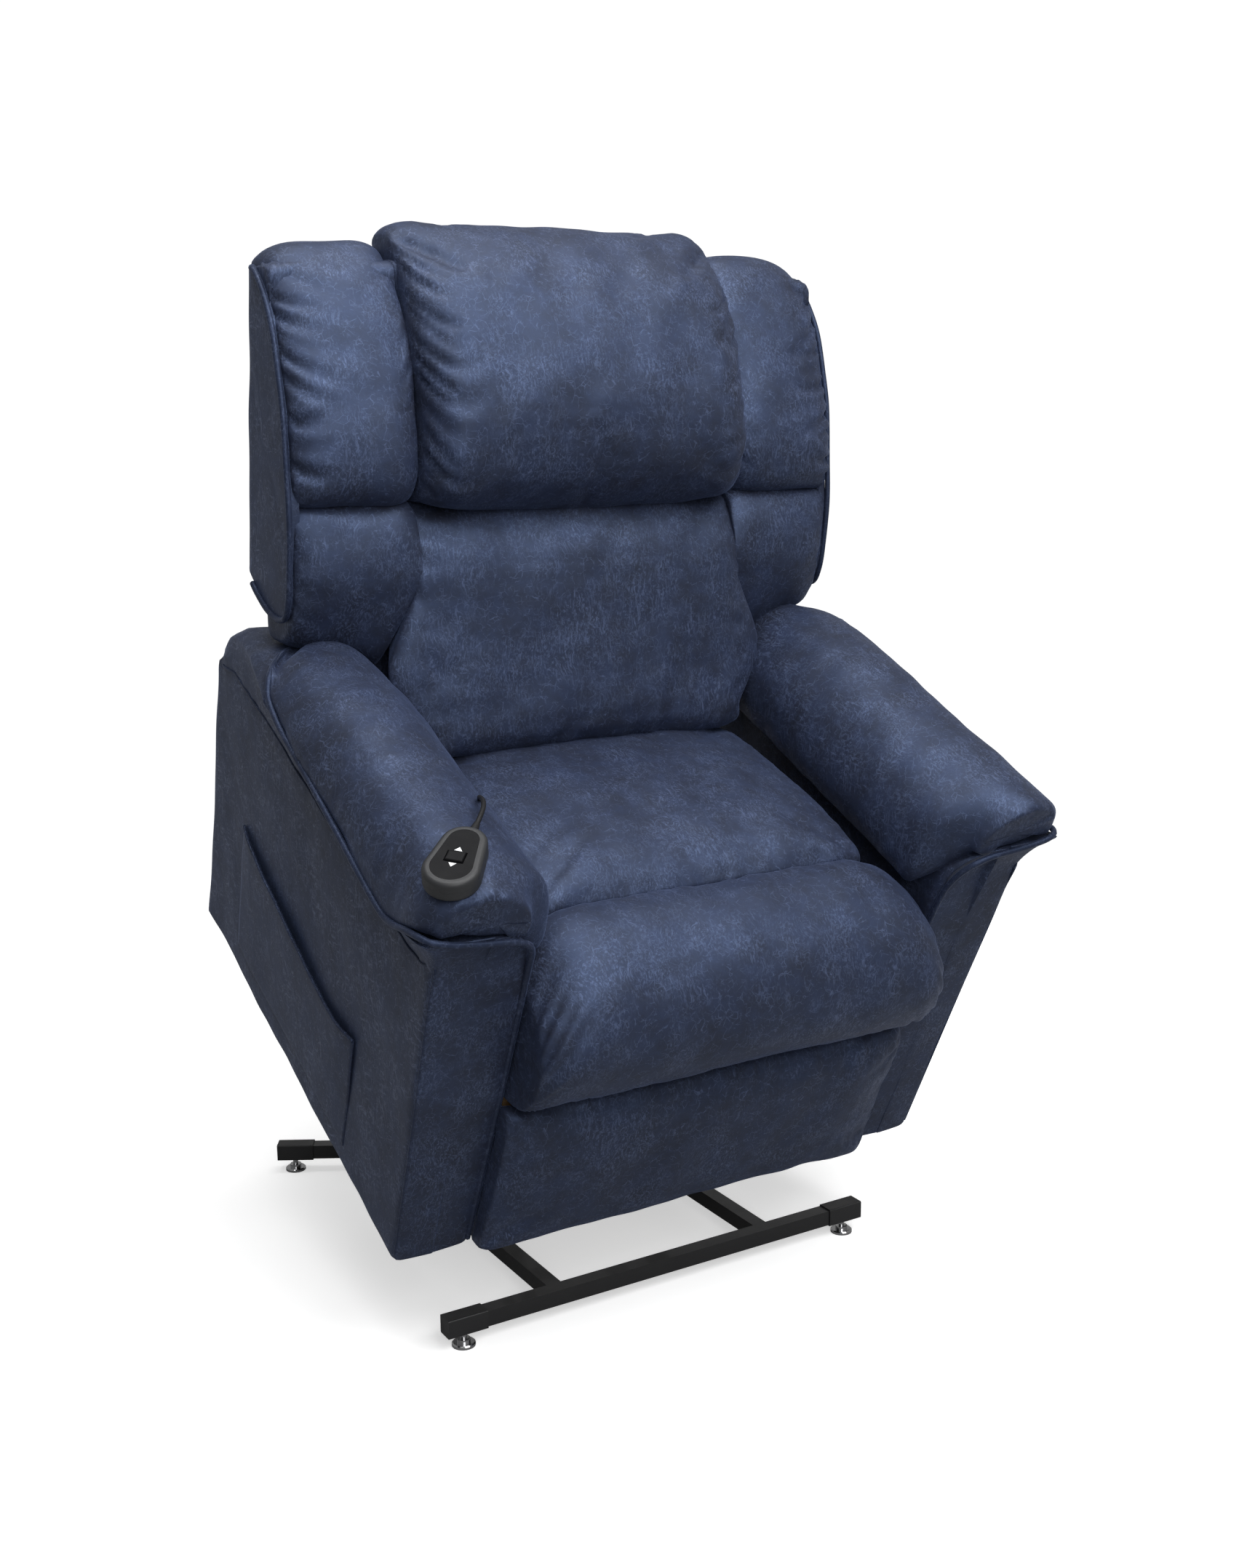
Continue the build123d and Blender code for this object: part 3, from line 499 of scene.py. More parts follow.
def mirror_x(grid):
    """The mirror image, across x, of a grid of (x, a, b) points."""
    return grid * np.array((-1.0, 1.0, 1.0))


def tube(name, points, radius, place, body, material=PIPING, step=6.0):
    """A piping or seam along a smooth line through points, in millimetres."""
    sides = 8
    points = np.asarray(points, float)
    line = curve(points, counts_for(points, step, closed=False), closed=False)
    line = place(line) * 1000
    tangent = np.gradient(line, axis=0)
    tangent /= np.linalg.norm(tangent, axis=1, keepdims=True)
    side = np.cross(tangent[0], (0.3, 0.5, 0.81))
    frames = []
    for t in tangent:
        side = side - t * (side @ t)
        side /= np.linalg.norm(side)
        frames.append((side, np.cross(t, side)))
    angle = np.linspace(0, 2 * math.pi, sides, endpoint=False)
    rings = []
    for p, (a, b) in zip(line, frames):
        rings.append(p + radius * (np.outer(np.cos(angle), a) + np.outer(np.sin(angle), b)))
    grid = np.stack(rings)
    faces = ring_faces(len(line), sides)
    return add_mesh(name, grid.reshape(-1, 3) / 1000, faces, material, body)


# ---------------- back
def seam_band(along, low, high):
    """1 between two heights along the back, fading over 30 mm."""
    return np.clip((along - low) / 30, 0, 1) * np.clip((high - along) / 30, 0, 1)


def near(distance, reach):
    """1 at a seam, falling to 0 at reach from it."""
    return np.clip(1 - np.abs(distance) / reach, 0, 1)


def inside_back(g, high):
    """Where a back cover is hidden against the back's frame."""
    return (np.abs(g[..., 2] - FRAME_OUT) < 8) & (g[..., 1] < high)


def both_sides(grid):
    """A right hand grid with its side's name, then its mirror image with its own."""
    return ("right", grid), ("left", mirror_x(grid))


def make_pillow():
    end = [(184, 60), (184, 118), (192, 142), (218, 156), (264, 158), (322, 141), (378, 118), (428, 92)]
    end += [(468, 62), (494, 32), (506, 6), (504, -8), (498, -14), (488, -8), (478, 14), (470, 60)]
    mid = [(182, 60), (174, 140), (180, 176), (206, 200), (260, 210), (322, 197), (385, 170), (442, 136)]
    mid += [(488, 96), (518, 56), (534, 18), (530, -9), (515, -20), (495, -15), (480, 12), (470, 60)]
    grid = pad_grid(end, mid, end, -PILLOW_HALF, PILLOW_HALF, 50, 50)

    def pillow_cloth(g):
        edge = PILLOW_HALF - np.abs(g[..., 0])
        held = (edge < 3) | inside_back(g, 474) | ((g[..., 2] < 16) & (g[..., 1] < 500))
        return held.astype(float), 0.03 + 0.27 * near(edge, 80)

    def pillow_folds(g, across):
        s, x = g[..., 1], g[..., 0]
        front = seam_band(s, 178, 508) * (g[..., 2] > -10)
        sharp = dict(pitch=32, reach=(42, 85), slant=0.2, width=(4, 7.5))
        left = gathers(x + PILLOW_HALF, across, 60, 560, 11, depth=(3.0, 8.0), **sharp)
        right = gathers(PILLOW_HALF - x, across, 60, 560, 12, depth=(2.5, 7.0), **sharp)
        return (left + right) * front

    hidden = ("head_pillow",)
    finish_pad("head_pillow_cover", grid, back, "back", hidden, folds=pillow_folds, cloth=pillow_cloth)


def make_bolsters():
    inner = [(188, 60), (186, 112), (196, 130), (226, 146), (262, 150), (322, 137), (378, 114), (428, 86)]
    inner += [(462, 54), (482, 24), (486, 2), (480, -10), (472, -6), (466, 60)]
    mid = [(184, 60), (177, 130), (186, 158), (214, 172), (262, 169), (322, 147), (378, 121), (430, 95)]
    mid += [(474, 64), (499, 30), (502, 4), (492, -10), (476, -8), (468, 60)]
    outer = [(186, 60), (182, 128), (190, 141), (214, 141), (250, 136), (300, 126), (345, 109), (392, 88)]
    outer += [(428, 62), (454, 34), (466, 8), (468, -6), (462, -5), (456, 60)]
    grid = pad_grid(inner, mid, outer, BOLSTER_START, SIDE_END, 46, 77, step=5.5)

    def bolster_cloth(g):
        x = np.abs(g[..., 0])
        held = (x > SIDE_END - 3) | (x < BOLSTER_START + 3) | inside_back(g, 472)
        held |= (g[..., 2] < 0) & (g[..., 1] < 484)
        return held.astype(float), 0.02 + 0.28 * near(SIDE_END - x, 98) + 0.10 * near(x - BOLSTER_START, 45)

    def bolster_folds(seed):
        def folds(g, across):
            s, x = g[..., 1], np.abs(g[..., 0])
            front = seam_band(s, 186, 482) * (g[..., 2] > -10)
            sharp = dict(pitch=38, reach=(50, 105), depth=(3.0, 8.0), slant=0.25, width=(4.5, 8.5))
            far = gathers(SIDE_END - x, across, 70, 560, seed, **sharp)
            short = dict(pitch=40, reach=(15, 45), depth=(1.0, 3.0))
            close = gathers(x - BOLSTER_START, across, 70, 520, seed + 1, **short)
            return (far + close) * front

        return folds

    for (side, made), seed in zip(both_sides(grid), (31, 21)):
        cover, hidden = f"head_bolster_cover_{side}", (f"head_bolster_{side}",)
        finish_pad(cover, made, back, "back", hidden, folds=bolster_folds(seed), cloth=bolster_cloth)


def make_wings():
    inner = [(-14, 60, 10), (-20, 128, 10), (0, 150, 6), (46, 168, 0), (100, 176, -8), (144, 160, -8)]
    inner += [(171, 138, -6), (178, 60, 0)]
    mid = [(-12, 60, 0), (-18, 112, 0), (0, 146, 0), (46, 167, 0), (100, 178, 0), (148, 167, 0)]
    mid += [(178, 145, 0), (184, 60, 0)]
    outer = [(2, 60, 0), (-2, 104, 0), (10, 124, 0), (40, 143, 0), (86, 150, 0), (134, 149, 0)]
    outer += [(170, 138, 0), (178, 60, 0)]
    grid = pad_grid(inner, mid, outer, WING_START, SIDE_END, 26, 67, step=6)
    # the seam beside the lumbar cushion slants outwards below
    low = np.clip((60 - grid[..., 1]) / 90, 0, 1)
    grid[..., 0] += 46 * low * near(grid[..., 0] - WING_START, 130)
    grid[..., 1] -= 26 * near(grid[..., 0] - 300, 60) * np.clip((60 - grid[..., 1]) / 60, 0, 1)

    def wing_cloth(g):
        x = np.abs(g[..., 0])
        inner_edge = 262 + 46 * np.clip((60 - g[..., 1]) / 90, 0, 1)
        held = (x > SIDE_END - 3) | (x < inner_edge) | inside_back(g, 400)
        return held.astype(float), 0.01 + 0.08 * near(SIDE_END - x, 60) + 0.04 * near(x - WING_START, 40)

    def wing_folds(g, across):
        x = np.abs(g[..., 0])
        front = seam_band(g[..., 1], 0, 190)
        return gathers(SIDE_END - x, across, 60, 330, 41, 34, (30, 70), (0.8, 2.4)) * front

    for side, made in both_sides(grid):
        cover, hidden = f"back_wing_cover_{side}", (f"back_wing_{side}",)
        finish_pad(cover, made, back, "back", hidden, folds=wing_folds, cloth=wing_cloth)


def make_lumbar():
    mid = [(-158, 60), (-160, 200), (-147, 224), (-108, 222), (-58, 208), (0, 197), (55, 189), (107, 180)]
    mid += [(141, 163), (168, 137), (178, 60)]
    end = [(-150, 60), (-152, 178), (-142, 198), (-106, 199), (-58, 188), (0, 179), (55, 173), (107, 166)]
    end += [(140, 150), (166, 124), (176, 60)]
    shift = [0, 0, 0, 0, 0, 0, 0, -8, -10, -8, 0]
    right = [(*p, q) for p, q in zip(end, shift)]
    left = [(*p, -q) for p, q in zip(end, shift)]
    grid = pad_grid(left, [(*p, 0) for p in mid], right, -LUMBAR_HALF, LUMBAR_HALF, 52, 52, step=7)
    low = np.clip((60 - grid[..., 1]) / 90, 0, 1) * np.clip((grid[..., 1] + 120) / 60, 0, 1)
    grid[..., 0] += 38 * low * (grid[..., 0] / LUMBAR_HALF) ** 3

    def lumbar_cloth(g):
        edge = LUMBAR_HALF - np.abs(g[..., 0])
        held = (edge < 3) | inside_back(g, 400) | (g[..., 1] > 168)
        corner = near(edge, 150) * near(g[..., 1] + 150, 150)
        return held.astype(float), 0.005 + 0.05 * near(edge, 90) + 0.10 * corner

    def lumbar_folds(g, across):
        x, s = g[..., 0], g[..., 1]
        front = seam_band(s, -160, 178)
        long = dict(pitch=38, reach=(50, 150), depth=(0.8, 3.0), slant=0.5, width=(8, 15))
        left = gathers(x + LUMBAR_HALF, across, 150, 520, 51, **long)
        right = gathers(LUMBAR_HALF - x, across, 150, 520, 52, **long)
        low = gathers(s + 158, x + 300, 40, 560, 53, **long) * (g[..., 2] > 120)
        return (left + right) * front + low

    hidden = ("lumbar_cushion",)
    finish_pad("lumbar_cover", grid, back, "back", hidden, folds=lumbar_folds, cloth=lumbar_cloth)


def make_back_sides():
    """The covers on the back's front corners and sides, with the piping round each side."""
    section = [(-150, 12), (-150, 90), (-140, 104), (-60, 106), (-6, 106), (4, 92), (4, 20), (-4, 10)]
    section += [(-60, 8), (-140, 8)]
    thin = [(p[0] * 0.97 - 3, p[1] * 0.88 + 6) for p in section]
    grid = pad_grid(thin, section, thin, 252, 300, 9, 9, step=8)
    for side, made in both_sides(grid):
        finish_pad(f"back_corner_cover_{side}", made, back, "back")

    edge = [(64, 0), (46, 34), (32, 72), (28, 110), (36, 138), (60, 149), (90, 152), (160, 151)]
    edge += [(224, 140), (296, 126), (339, 111), (399, 85), (440, 52), (460, 24), (468, 2), (460, -3)]
    edge += [(300, -3), (150, -3), (74, -3)]
    trimmed = [(p[0] + (2 if p[0] < 250 else -2) * (p[1] < 120), max(p[1] - 2, -1)) for p in edge]
    grid = pad_grid(edge, edge, trimmed, 413, 425, 2, 6, step=8)
    for side, made in both_sides(grid):
        hides = ("back_side_panels",) if side == "right" else ()
        finish_pad(f"back_side_cover_{side}", made, back, "back", hides, waves=((3, 160, 1.0),))
    rim = np.array([(464, 13), *edge[13:0:-1], (55, 17)], float)
    away = rim - (250, 60)
    rim += away / np.linalg.norm(away, axis=1, keepdims=True)
    for side, flip in (("right", 1), ("left", -1)):
        tube(f"back_piping_{side}", [(427 * flip, p, q) for p, q in rim], PIPING_R, back, "back")


def make_back_rear():
    section = [(62, 6), (62, -1), (72, -3.5), (260, -4), (456, -3.5), (467, -1), (467, 6), (260, 6)]
    thin = [(p[0], min(max(p[1], 0), 5)) for p in section]
    grid = pad_grid(thin, section, thin, -417, 417, 8, 8, step=12)
    waves = ((4, 240, 1.2),)
    finish_pad("back_rear_cover", grid, back, "back", ("back_rear_panel",), waves=waves)
    section = [(-234, 6), (-234, 0), (-226, -2.5), (-90, -3), (50, -2.5), (59, 0), (59, 6), (-90, 6)]
    thin = [(p[0], min(max(p[1], 0.5), 5)) for p in section]
    grid = pad_grid(thin, section, thin, -249, 249, 8, 8, step=12)
    waves = ((5, 240, 1.0),)
    finish_pad("back_lower_cover", grid, back, "back", ("back_lower_panel",), waves=waves)


make_pillow()
make_bolsters()
make_wings()
make_lumbar()
make_back_sides()
make_back_rear()


# ---------------- seat
def make_seat_cushion():
    mid = [(95, 400), (95, 506), (100, 526), (120, 536), (180, 539), (260, 537), (340, 530), (420, 516)]
    mid += [(474, 500), (481, 480), (481, 400), (478, 312), (280, 309), (97, 312)]
    end = [(99, 400), (99, 496), (104, 510), (122, 517), (180, 519), (260, 518), (340, 512), (420, 500)]
    end += [(468, 488), (476, 476), (477, 400), (474, 318), (280, 315), (101, 318)]
    grid = pad_grid(end, mid, end, -SEAT_HALF, SEAT_HALF, 60, 60, step=8)

    def seat_folds(g, across):
        x, y = g[..., 0], g[..., 1]
        top = g[..., 2] > 480
        wide = dict(pitch=44, reach=(25, 70), depth=(0.6, 2.0), width=(8, 14))
        left = gathers(x + SEAT_HALF, y, 110, 470, 61, **wide)
        right = gathers(SEAT_HALF - x, y, 110, 470, 62, **wide)
        front = gathers(y - 95, x + 300, 40, 560, 63, 40, (20, 60), (0.5, 1.8), width=(6, 11))
        return (left + right + front) * top

    def seat_cloth(g):
        side = SEAT_HALF - np.abs(g[..., 0])
        edge = np.minimum(side, g[..., 1] - 93)
        held = (g[..., 2] < 470) | (g[..., 1] < 99) | (side < 3)
        return held.astype(float), 0.01 + 0.05 * near(edge, 60)

    hidden = ("seat_cushion",)
    finish_pad("seat_cushion_cover", grid, chair, "chassis", hidden, folds=seat_folds, cloth=seat_cloth)


def make_front_roll():
    """The roll in front of the seat, whose top rounds over further from its ends than its front does."""
    mid = [(93, 420), (92, 506), (86, 526), (62, 535), (28, 533), (-8, 522), (-38, 503), (-63, 476)]
    mid += [(-80, 443), (-86, 408), (-79, 370), (-60, 338), (-30, 316), (0, 307), (40, 306), (88, 310)]
    end = [(88, 400), (88, 440), (78, 462), (54, 472), (24, 474), (-6, 466), (-32, 452), (-52, 432)]
    end += [(-62, 412), (-64, 388), (-60, 360), (-47, 335), (-24, 317), (4, 310), (40, 308), (84, 311)]
    counts = counts_for(mid, 6)
    mid, end = np.array(mid, float), np.array(end, float)
    rows = []
    for x in stations(-ROLL_HALF, ROLL_HALF, 60, 60, step=6.5, turns=16):
        d = ROLL_HALF - abs(x)
        top = np.clip((mid[:, 1] - 430) / 90, 0, 1)
        blend = round_over(d, 55) * (1 - top) + round_over(d, 112) ** 1.5 * top
        outline = end + (mid - end) * blend[:, None]
        ring = curve(outline, counts)
        rows.append(np.hstack((np.full((len(ring), 1), x), ring)))
    grid = np.stack(rows)

    def roll_folds(g, across):
        x, y, z = g[..., 0], g[..., 1], g[..., 2]
        front = (y < 60) & (z < 530)
        left = gathers(x + ROLL_HALF, across, 60, 620, 71, 26, (30, 80), (1.5, 5.0), 0.2, (5, 9))
        right = gathers(ROLL_HALF - x, across, 60, 620, 72, 29, (25, 70), (1.5, 4.0), 0.2, (5, 9))
        seam = gathers(95 - y, x + 320, 40, 600, 73, 34, (20, 60), (0.5, 2.0), width=(6, 11))
        below = gathers(z - 312, x + 320, 30, 610, 74, 24, (20, 60), (0.8, 3.0))
        return (left + right) * front + seam * (z > 500) + below * (y < -8)

    def roll_cloth(g):
        edge = ROLL_HALF - np.abs(g[..., 0])
        held = (g[..., 1] > 84) | (edge < 3) | ((g[..., 2] < 322) & (g[..., 1] > 10))
        return held.astype(float), 0.015 + 0.24 * near(edge, 80) + 0.12 * near(g[..., 2] - 312, 60)

    hidden = ("seat_front_roll",)
    finish_pad("seat_front_roll_cover", grid, chair, "chassis", hidden, folds=roll_folds, cloth=roll_cloth)


def make_legrest():
    mid = [(-7, 60), (-20, 58), (-32, 64), (-37, 90), (-38, 180), (-36, 270), (-28, 296), (-14, 300)]
    mid += [(-7, 299), (-6, 180)]
    end = [(3, 66), (-14, 64), (-22, 70), (-25, 92), (-26, 180), (-25, 266), (-20, 288), (-13, 293)]
    end += [(3, 292), (3, 180)]
    grid = pad_grid(end, mid, end, -LEGREST_HALF, LEGREST_HALF, 22, 22, step=6)

    def panel_folds(g, across):
        x, z = g[..., 0], g[..., 2]
        front = g[..., 1] < -20
        high = gathers(300 - z, x + 320, 30, 610, 81, 17, (20, 75), (0.6, 2.6), slant=0.35)
        sides = gathers(LEGREST_HALF - np.abs(x), z, 70, 300, 82, 40, (20, 60), (0.4, 1.4))
        return (high + sides) * front

    def panel_cloth(g):
        edge = LEGREST_HALF - np.abs(g[..., 0])
        held = (g[..., 1] > -9) | (edge < 3)
        return held.astype(float), 0.01 + 0.14 * near(300 - g[..., 2], 70) + 0.03 * near(edge, 50)

    hidden = ("legrest_pad",)
    finish_pad("legrest_cover", grid, chair, "legrest_panel", hidden, folds=panel_folds, cloth=panel_cloth)


make_seat_cushion()
make_front_roll()
make_legrest()


# ---------------- arms
# The line of the piping round the pad, as (y, x, z), from the front to behind the back.
WELT = [(-24, 463, 607), (-6, 472, 603), (20, 474, 592), (46, 473, 578), (77, 472, 568), (119, 473, 571)]
WELT += [(212, 474, 583), (312, 475, 595), (418, 476, 606), (469, 474, 619), (500, 462, 634)]
WELT += [(545, 432, 632), (590, 395, 612), (606, 372, 594)]
# The arm's top behind the pad, as (y, z).
CREST = [(480, 612), (520, 626), (560, 620), (600, 611), (640, 603), (690, 587), (718, 570), (736, 546)]
CREST += [(745, 520)]
# The height of the seam along the arm's outer side, at each y.
SEAM_Y, SEAM_Z = (-30, 60, 200, 400, 673, 764), (548, 522, 520, 524, 529, 500)
LOOP_SIDE = 10  # how many of the arm outline's stretches make its outer side


def at(y, table, column):
    """A column of a table, at one value of its first column."""
    return np.interp(y, [row[0] for row in table], [row[column] for row in table])


def arm_outline(y):
    """The arm's outline at one y, from the foot of its outer side."""
    if y > 480:
        top = at(y, CREST, 1)
        zw = min(606.0, top - 8)
        xw = np.interp(y, (480, 560, 640, 700, 745), (474, 459, 445, 437, 432))
    else:
        zw, xw = at(y, WELT[:9], 2), at(y, WELT[:9], 1)
        top = zw - 12
    low = min(1.0, (zw - 520) / 60)
    loop = [(413, 54), (419, 60), (424, 190), (430, 330), (436, 440), (438, 470 + 30 * low)]
    loop += [(441, 505 + 38 * low), (441 + (xw - 441) * 0.4, zw - 22), (441 + (xw - 441) * 0.82, zw - 8)]
    loop += [(xw, zw + 1), (xw - 16, top + 2 if y > 480 else zw - 6), (410, top + 6), (360, top)]
    loop += [(330, top - 20), (314, top - 48), (311, 440), (310, 250), (311, 60), (317, 54)]
    return loop


def make_arm_seam(side, place, outer_side):
    """The seam along the arm's outer side, which turns down the front edge."""
    seam = []
    for row in outer_side[::-3]:
        high = np.interp(row[0, 1], SEAM_Y, SEAM_Z)
        seam.append((np.interp(high, row[:, 2], row[:, 0]) + 0.6, row[0, 1], high))
    seam[-1] = (438, -1, 546)
    seam += [(436, 1, 500), (434, 1, 440), (428, 1, 330), (422, 1, 190), (417, 1, 64)]
    tube(f"{side}_arm_seam", seam, ARM_SEAM_R, place, "chassis", step=8)


def arm_end(row, last):
    """Rings that close the arm's front or rear with a slightly puffed panel."""
    middle = 365 + (row[:, 2] - 54) * 0.03
    rings = []
    for f in (0.96, 0.86, 0.66, 0.42, 0.2, 0.03):
        ring = row.copy()
        ring[:, 0] = middle + (row[:, 0] - middle) * f
        puff = 3.0 * (1 - f) ** 0.5
        ring[:, 1] += puff if last else -puff
        rings.append(ring)
    return np.stack(rings if last else rings[::-1])


def make_arm_body(side, place):
    ys = (np.linspace(0, 60, 9), np.linspace(66, 480, 42), np.linspace(488, ARM_LENGTH, 34))
    ys = np.concatenate(ys)
    counts = counts_for(arm_outline(ys[0]), 8)
    rows = []
    for y in ys:
        ring = curve(arm_outline(y), counts)
        lip = 24 * np.clip((ring[:, 1] - 535) / 62, 0, 1) ** 1.6 * max(0.0, 1 - y / 60)
        edge = 3 * (1 - round_over(np.array(min(y, ARM_LENGTH - y)), 6.0))
        middle = np.clip(ring[:, 0], 330, 400)
        ring[:, 0] -= np.sign(ring[:, 0] - middle) * edge
        rows.append(np.stack((ring[:, 0], y - lip, ring[:, 1]), -1))
    grid = np.stack(rows)
    normal = grid_normals(grid)
    seam_z = np.interp(grid[..., 1], SEAM_Y, SEAM_Z)
    outer = grid[..., 0] > 380
    groove = -2.2 * np.exp(-(((grid[..., 2] - seam_z) / 3.2) ** 2)) * outer * (grid[..., 1] > 2)
    soft = 1.6 * noise_field(grid, 91, 170) + 0.5 * noise_field(grid, 92, 60)
    from_seam = np.abs(grid[..., 2] - seam_z)
    band = gathers(from_seam, grid[..., 1], 10, 740, 93, 46, (12, 34), (0.3, 1.3)) * outer
    grid = grid + normal * (groove + soft * 0.8 + band)[..., None]
    make_arm_seam(side, place, grid[:, : sum(counts[:LOOP_SIDE])])
    grid = np.concatenate((arm_end(grid[0], False), grid, arm_end(grid[-1], True)))
    hides = (f"{side}_arm_outer_panel", f"{side}_arm_inner_panels")
    verts = place(grid.reshape(-1, 3))
    body = add_mesh(f"{side}_arm_cover", verts, ring_faces(*grid.shape[:2]), NAVY, "chassis", hides=hides)


def pad_outline(y):
    """The arm pad's outline at one y, from the foot of its inner side and over the top."""
    zw, xw = at(y, WELT, 2), at(y, WELT, 1)
    fall = np.interp(y, (-33, 440, 480, 517, 555, 585, 606), (671, 671, 668, 660, 646, 625, 600)) - 671
    pull = np.interp(y, (430, 606), (0, 1))
    inner = np.interp(y, (430, 606), (0, 14))
    base = [(305, 522), (283, 514), (276, 545), (280, 585), (296, 620), (324, 648), (356, 666)]
    base += [(395, 673), (430, 665), (457, 644), (472, 620)]
    nose = [(352, 584), (341, 587), (332, 592), (331, 603), (336, 622), (350, 643), (370, 658)]
    nose += [(396, 668), (430, 663), (457, 644), (472, 620)]
    turn = np.clip((38 - y) / 62, 0, 1)
    turn = turn * turn * (3 - 2 * turn)
    base = [(a + (c - a) * turn, b + (d - b) * turn) for (a, b), (c, d) in zip(base, nose)]
    points = []
    for px, pz in base:
        k = np.clip((pz - 520) / 150, 0, 1)
        px = px + inner * (px < 300) - pull * max(0, px - 330) * (474 - xw) / 110
        points.append((min(px, xw - 1.5), pz + fall * k))
    lip = max(zw + 8, points[-1][1] - (471 - xw) * 0.1)
    points[-1] = (xw - 1.0, max(zw + 6, min(lip, zw + 18)))
    points += [(xw - 3, zw), (xw - 30, zw - 6 + 4 * turn), (400 - pull * 30, zw - 12 + 4 * turn)]
    points += [(352 + 14 * turn, zw - 22 + 10 * turn), (318 + 38 * turn, 545 + 42 * turn)]
    return np.array(points)


def pad_folds(g, across):
    x, y, z = g[..., 0], g[..., 1], g[..., 2]
    from_lip = np.hypot(x - 474, z - 600)
    from_foot = np.clip(z - PAD_FOOT, 0, 400)
    front = gathers(y - PAD_FRONT, across, 90, 520, 101, 30, (20, 60), (0.6, 2.4))
    low = gathers(from_lip, y, 0, 560, 102, 38, (15, 45), (0.4, 1.8), slant=0.4)
    inner = gathers(from_foot, y, 20, 560, 103, 42, (30, 80), (0.4, 2.0), slant=0.4, width=(7, 13))
    crown = z > 600
    return front * crown + low * crown + inner * (x < 330)


def make_arm_pad(side, place):
    counts = counts_for(pad_outline(200), 6)
    rows = []
    for y in stations(PAD_FRONT, PAD_REAR, 26, 30, step=6.5, turns=10):
        f = round_over(np.array(y - PAD_FRONT), 26.0)
        g = round_over(np.array(PAD_REAR - y), 30.0)
        ring = curve(pad_outline(y), counts)
        centre = np.array((372.0, 600.0))
        tight = 1 - 0.17 * (1 - f) - 0.22 * (1 - g)
        small = centre + (ring - centre) * tight
        small[:, 1] = np.where(ring[:, 1] < 606, ring[:, 1] + (1 - tight) * 10, small[:, 1])
        # the front turns under towards the piping
        under = 16 * np.clip((665 - small[:, 1]) / 70, 0, 1) * np.clip((40 - y) / 60, 0, 1)
        rows.append(np.stack((small[:, 0], y + under, small[:, 1]), -1))
    grid = np.stack(rows)
    # sewn below its foot, under the arm's top and at both ends
    sewn = np.zeros(grid.shape[:2])
    sewn[:, : counts[0]] = 1
    sewn[:, sum(counts[:10]) :] = 1
    sewn[:2], sewn[-3:] = 1, 1
    slack = 0.012 + 0.10 * near(grid[..., 1] - PAD_FRONT, 60) + 0.03 * near(grid[..., 2] - PAD_FOOT, 60)
    grid = settle(f"{side}_arm_pad", grid, sewn, slack, pressure=2.5, cap=9.0)
    across = surface_lengths(grid)[1]
    waves = 1.8 * noise_field(grid, 104, 150) + 0.6 * noise_field(grid, 105, 60)
    grid = grid + grid_normals(grid) * (waves + pad_folds(grid, across))[..., None]
    grid = end_rows(grid, steps=7)
    verts, faces = place(grid.reshape(-1, 3)), ring_faces(*grid.shape[:2])
    cover = add_mesh(f"{side}_arm_pad_cover", verts, faces, NAVY, "chassis", hides=(f"arm_pad_{side}",))


def make_arm_piping(side, place):
    """Piping up the arm's inner front edge, across the front and back along the pad."""
    line = [(314, 1, 62), (313, 1, 200), (312, 1, 330), (313, 0, 450), (316, -4, 520), (322, -13, 553)]
    line += [(334, -22, 575), (356, -26, 587), (400, -28, 594), (436, -28, 600), (452, -27, 604)]
    line += [(464, -21, 605), (471, -9, 604)]
    line += [(x + 0.5, y, z + 1) for y, x, z in WELT[2:]]
    tube(f"{side}_arm_piping", line, PIPING_R, place, "chassis")


def make_arm(side, sign):
    def place(p):
        return chair(np.asarray(p, float) * (sign, 1, 1))

    make_arm_body(side, place)
    make_arm_pad(side, place)
    make_arm_piping(side, place)


make_arm("right", 1.0)
make_arm("left", -1.0)


def make_pocket():
    """A flat patch pocket on the left arm's outer side, slack along its top edge."""
    top = [(190, 276), (230, 270), (300, 273), (400, 284), (500, 299), (597, 316)]
    front, rear = 178, 604
    lift = np.linspace(0, 1, 34)
    rows = []
    for y in np.linspace(front, rear, 72):
        low, high = 92 + 0.02 * (y - front), at(y, top, 1)
        edge = np.clip(min(y - front, rear - y) / 40, 0, 1)
        z = low + (high - low) * lift
        surface = -(419 + (z - 54) / 276 * 11)
        slack = 2.2 + 6.0 * edge**0.7 * lift**2.2 + 1.6 * edge * np.sin(lift * math.pi)
        rows.append(np.stack((surface - slack, y + (lift - 0.5) * 3, z), -1))
    outer = np.stack(rows)
    outer[..., 0] -= 0.7 * noise_field(outer, 111, 110)
    inner = outer.copy()
    inner[..., 0] += 2.0
    n, m = outer.shape[:2]
    verts = np.concatenate((outer.reshape(-1, 3), inner.reshape(-1, 3)))
    i, j = np.meshgrid(np.arange(n - 1), np.arange(m - 1), indexing="ij")
    a = (i * m + j).ravel()
    faces = [(q, q + m, q + m + 1, q + 1) for q in a]
    faces += [(q + n * m, q + n * m + 1, q + n * m + m + 1, q + n * m + m) for q in a]
    ring = list(range(m)) + [k * m + m - 1 for k in range(1, n)]
    ring += [(n - 1) * m + q for q in range(m - 2, -1, -1)] + [k * m for k in range(n - 2, 0, -1)]
    for p, q in zip(ring, ring[1:] + ring[:1]):
        faces.append((p, q, q + n * m, p + n * m))
    add_mesh("side_pocket_cover", chair(verts), faces, NAVY, "chassis", hides=("side_pocket",))
    hem = [tuple(outer[k, -1] + (-0.5, 0, 1)) for k in range(0, n, 6)] + [tuple(outer[-1, -1])]
    tube("side_pocket_hem", hem, HEM_R, chair, "chassis", material=NAVY)


make_pocket()

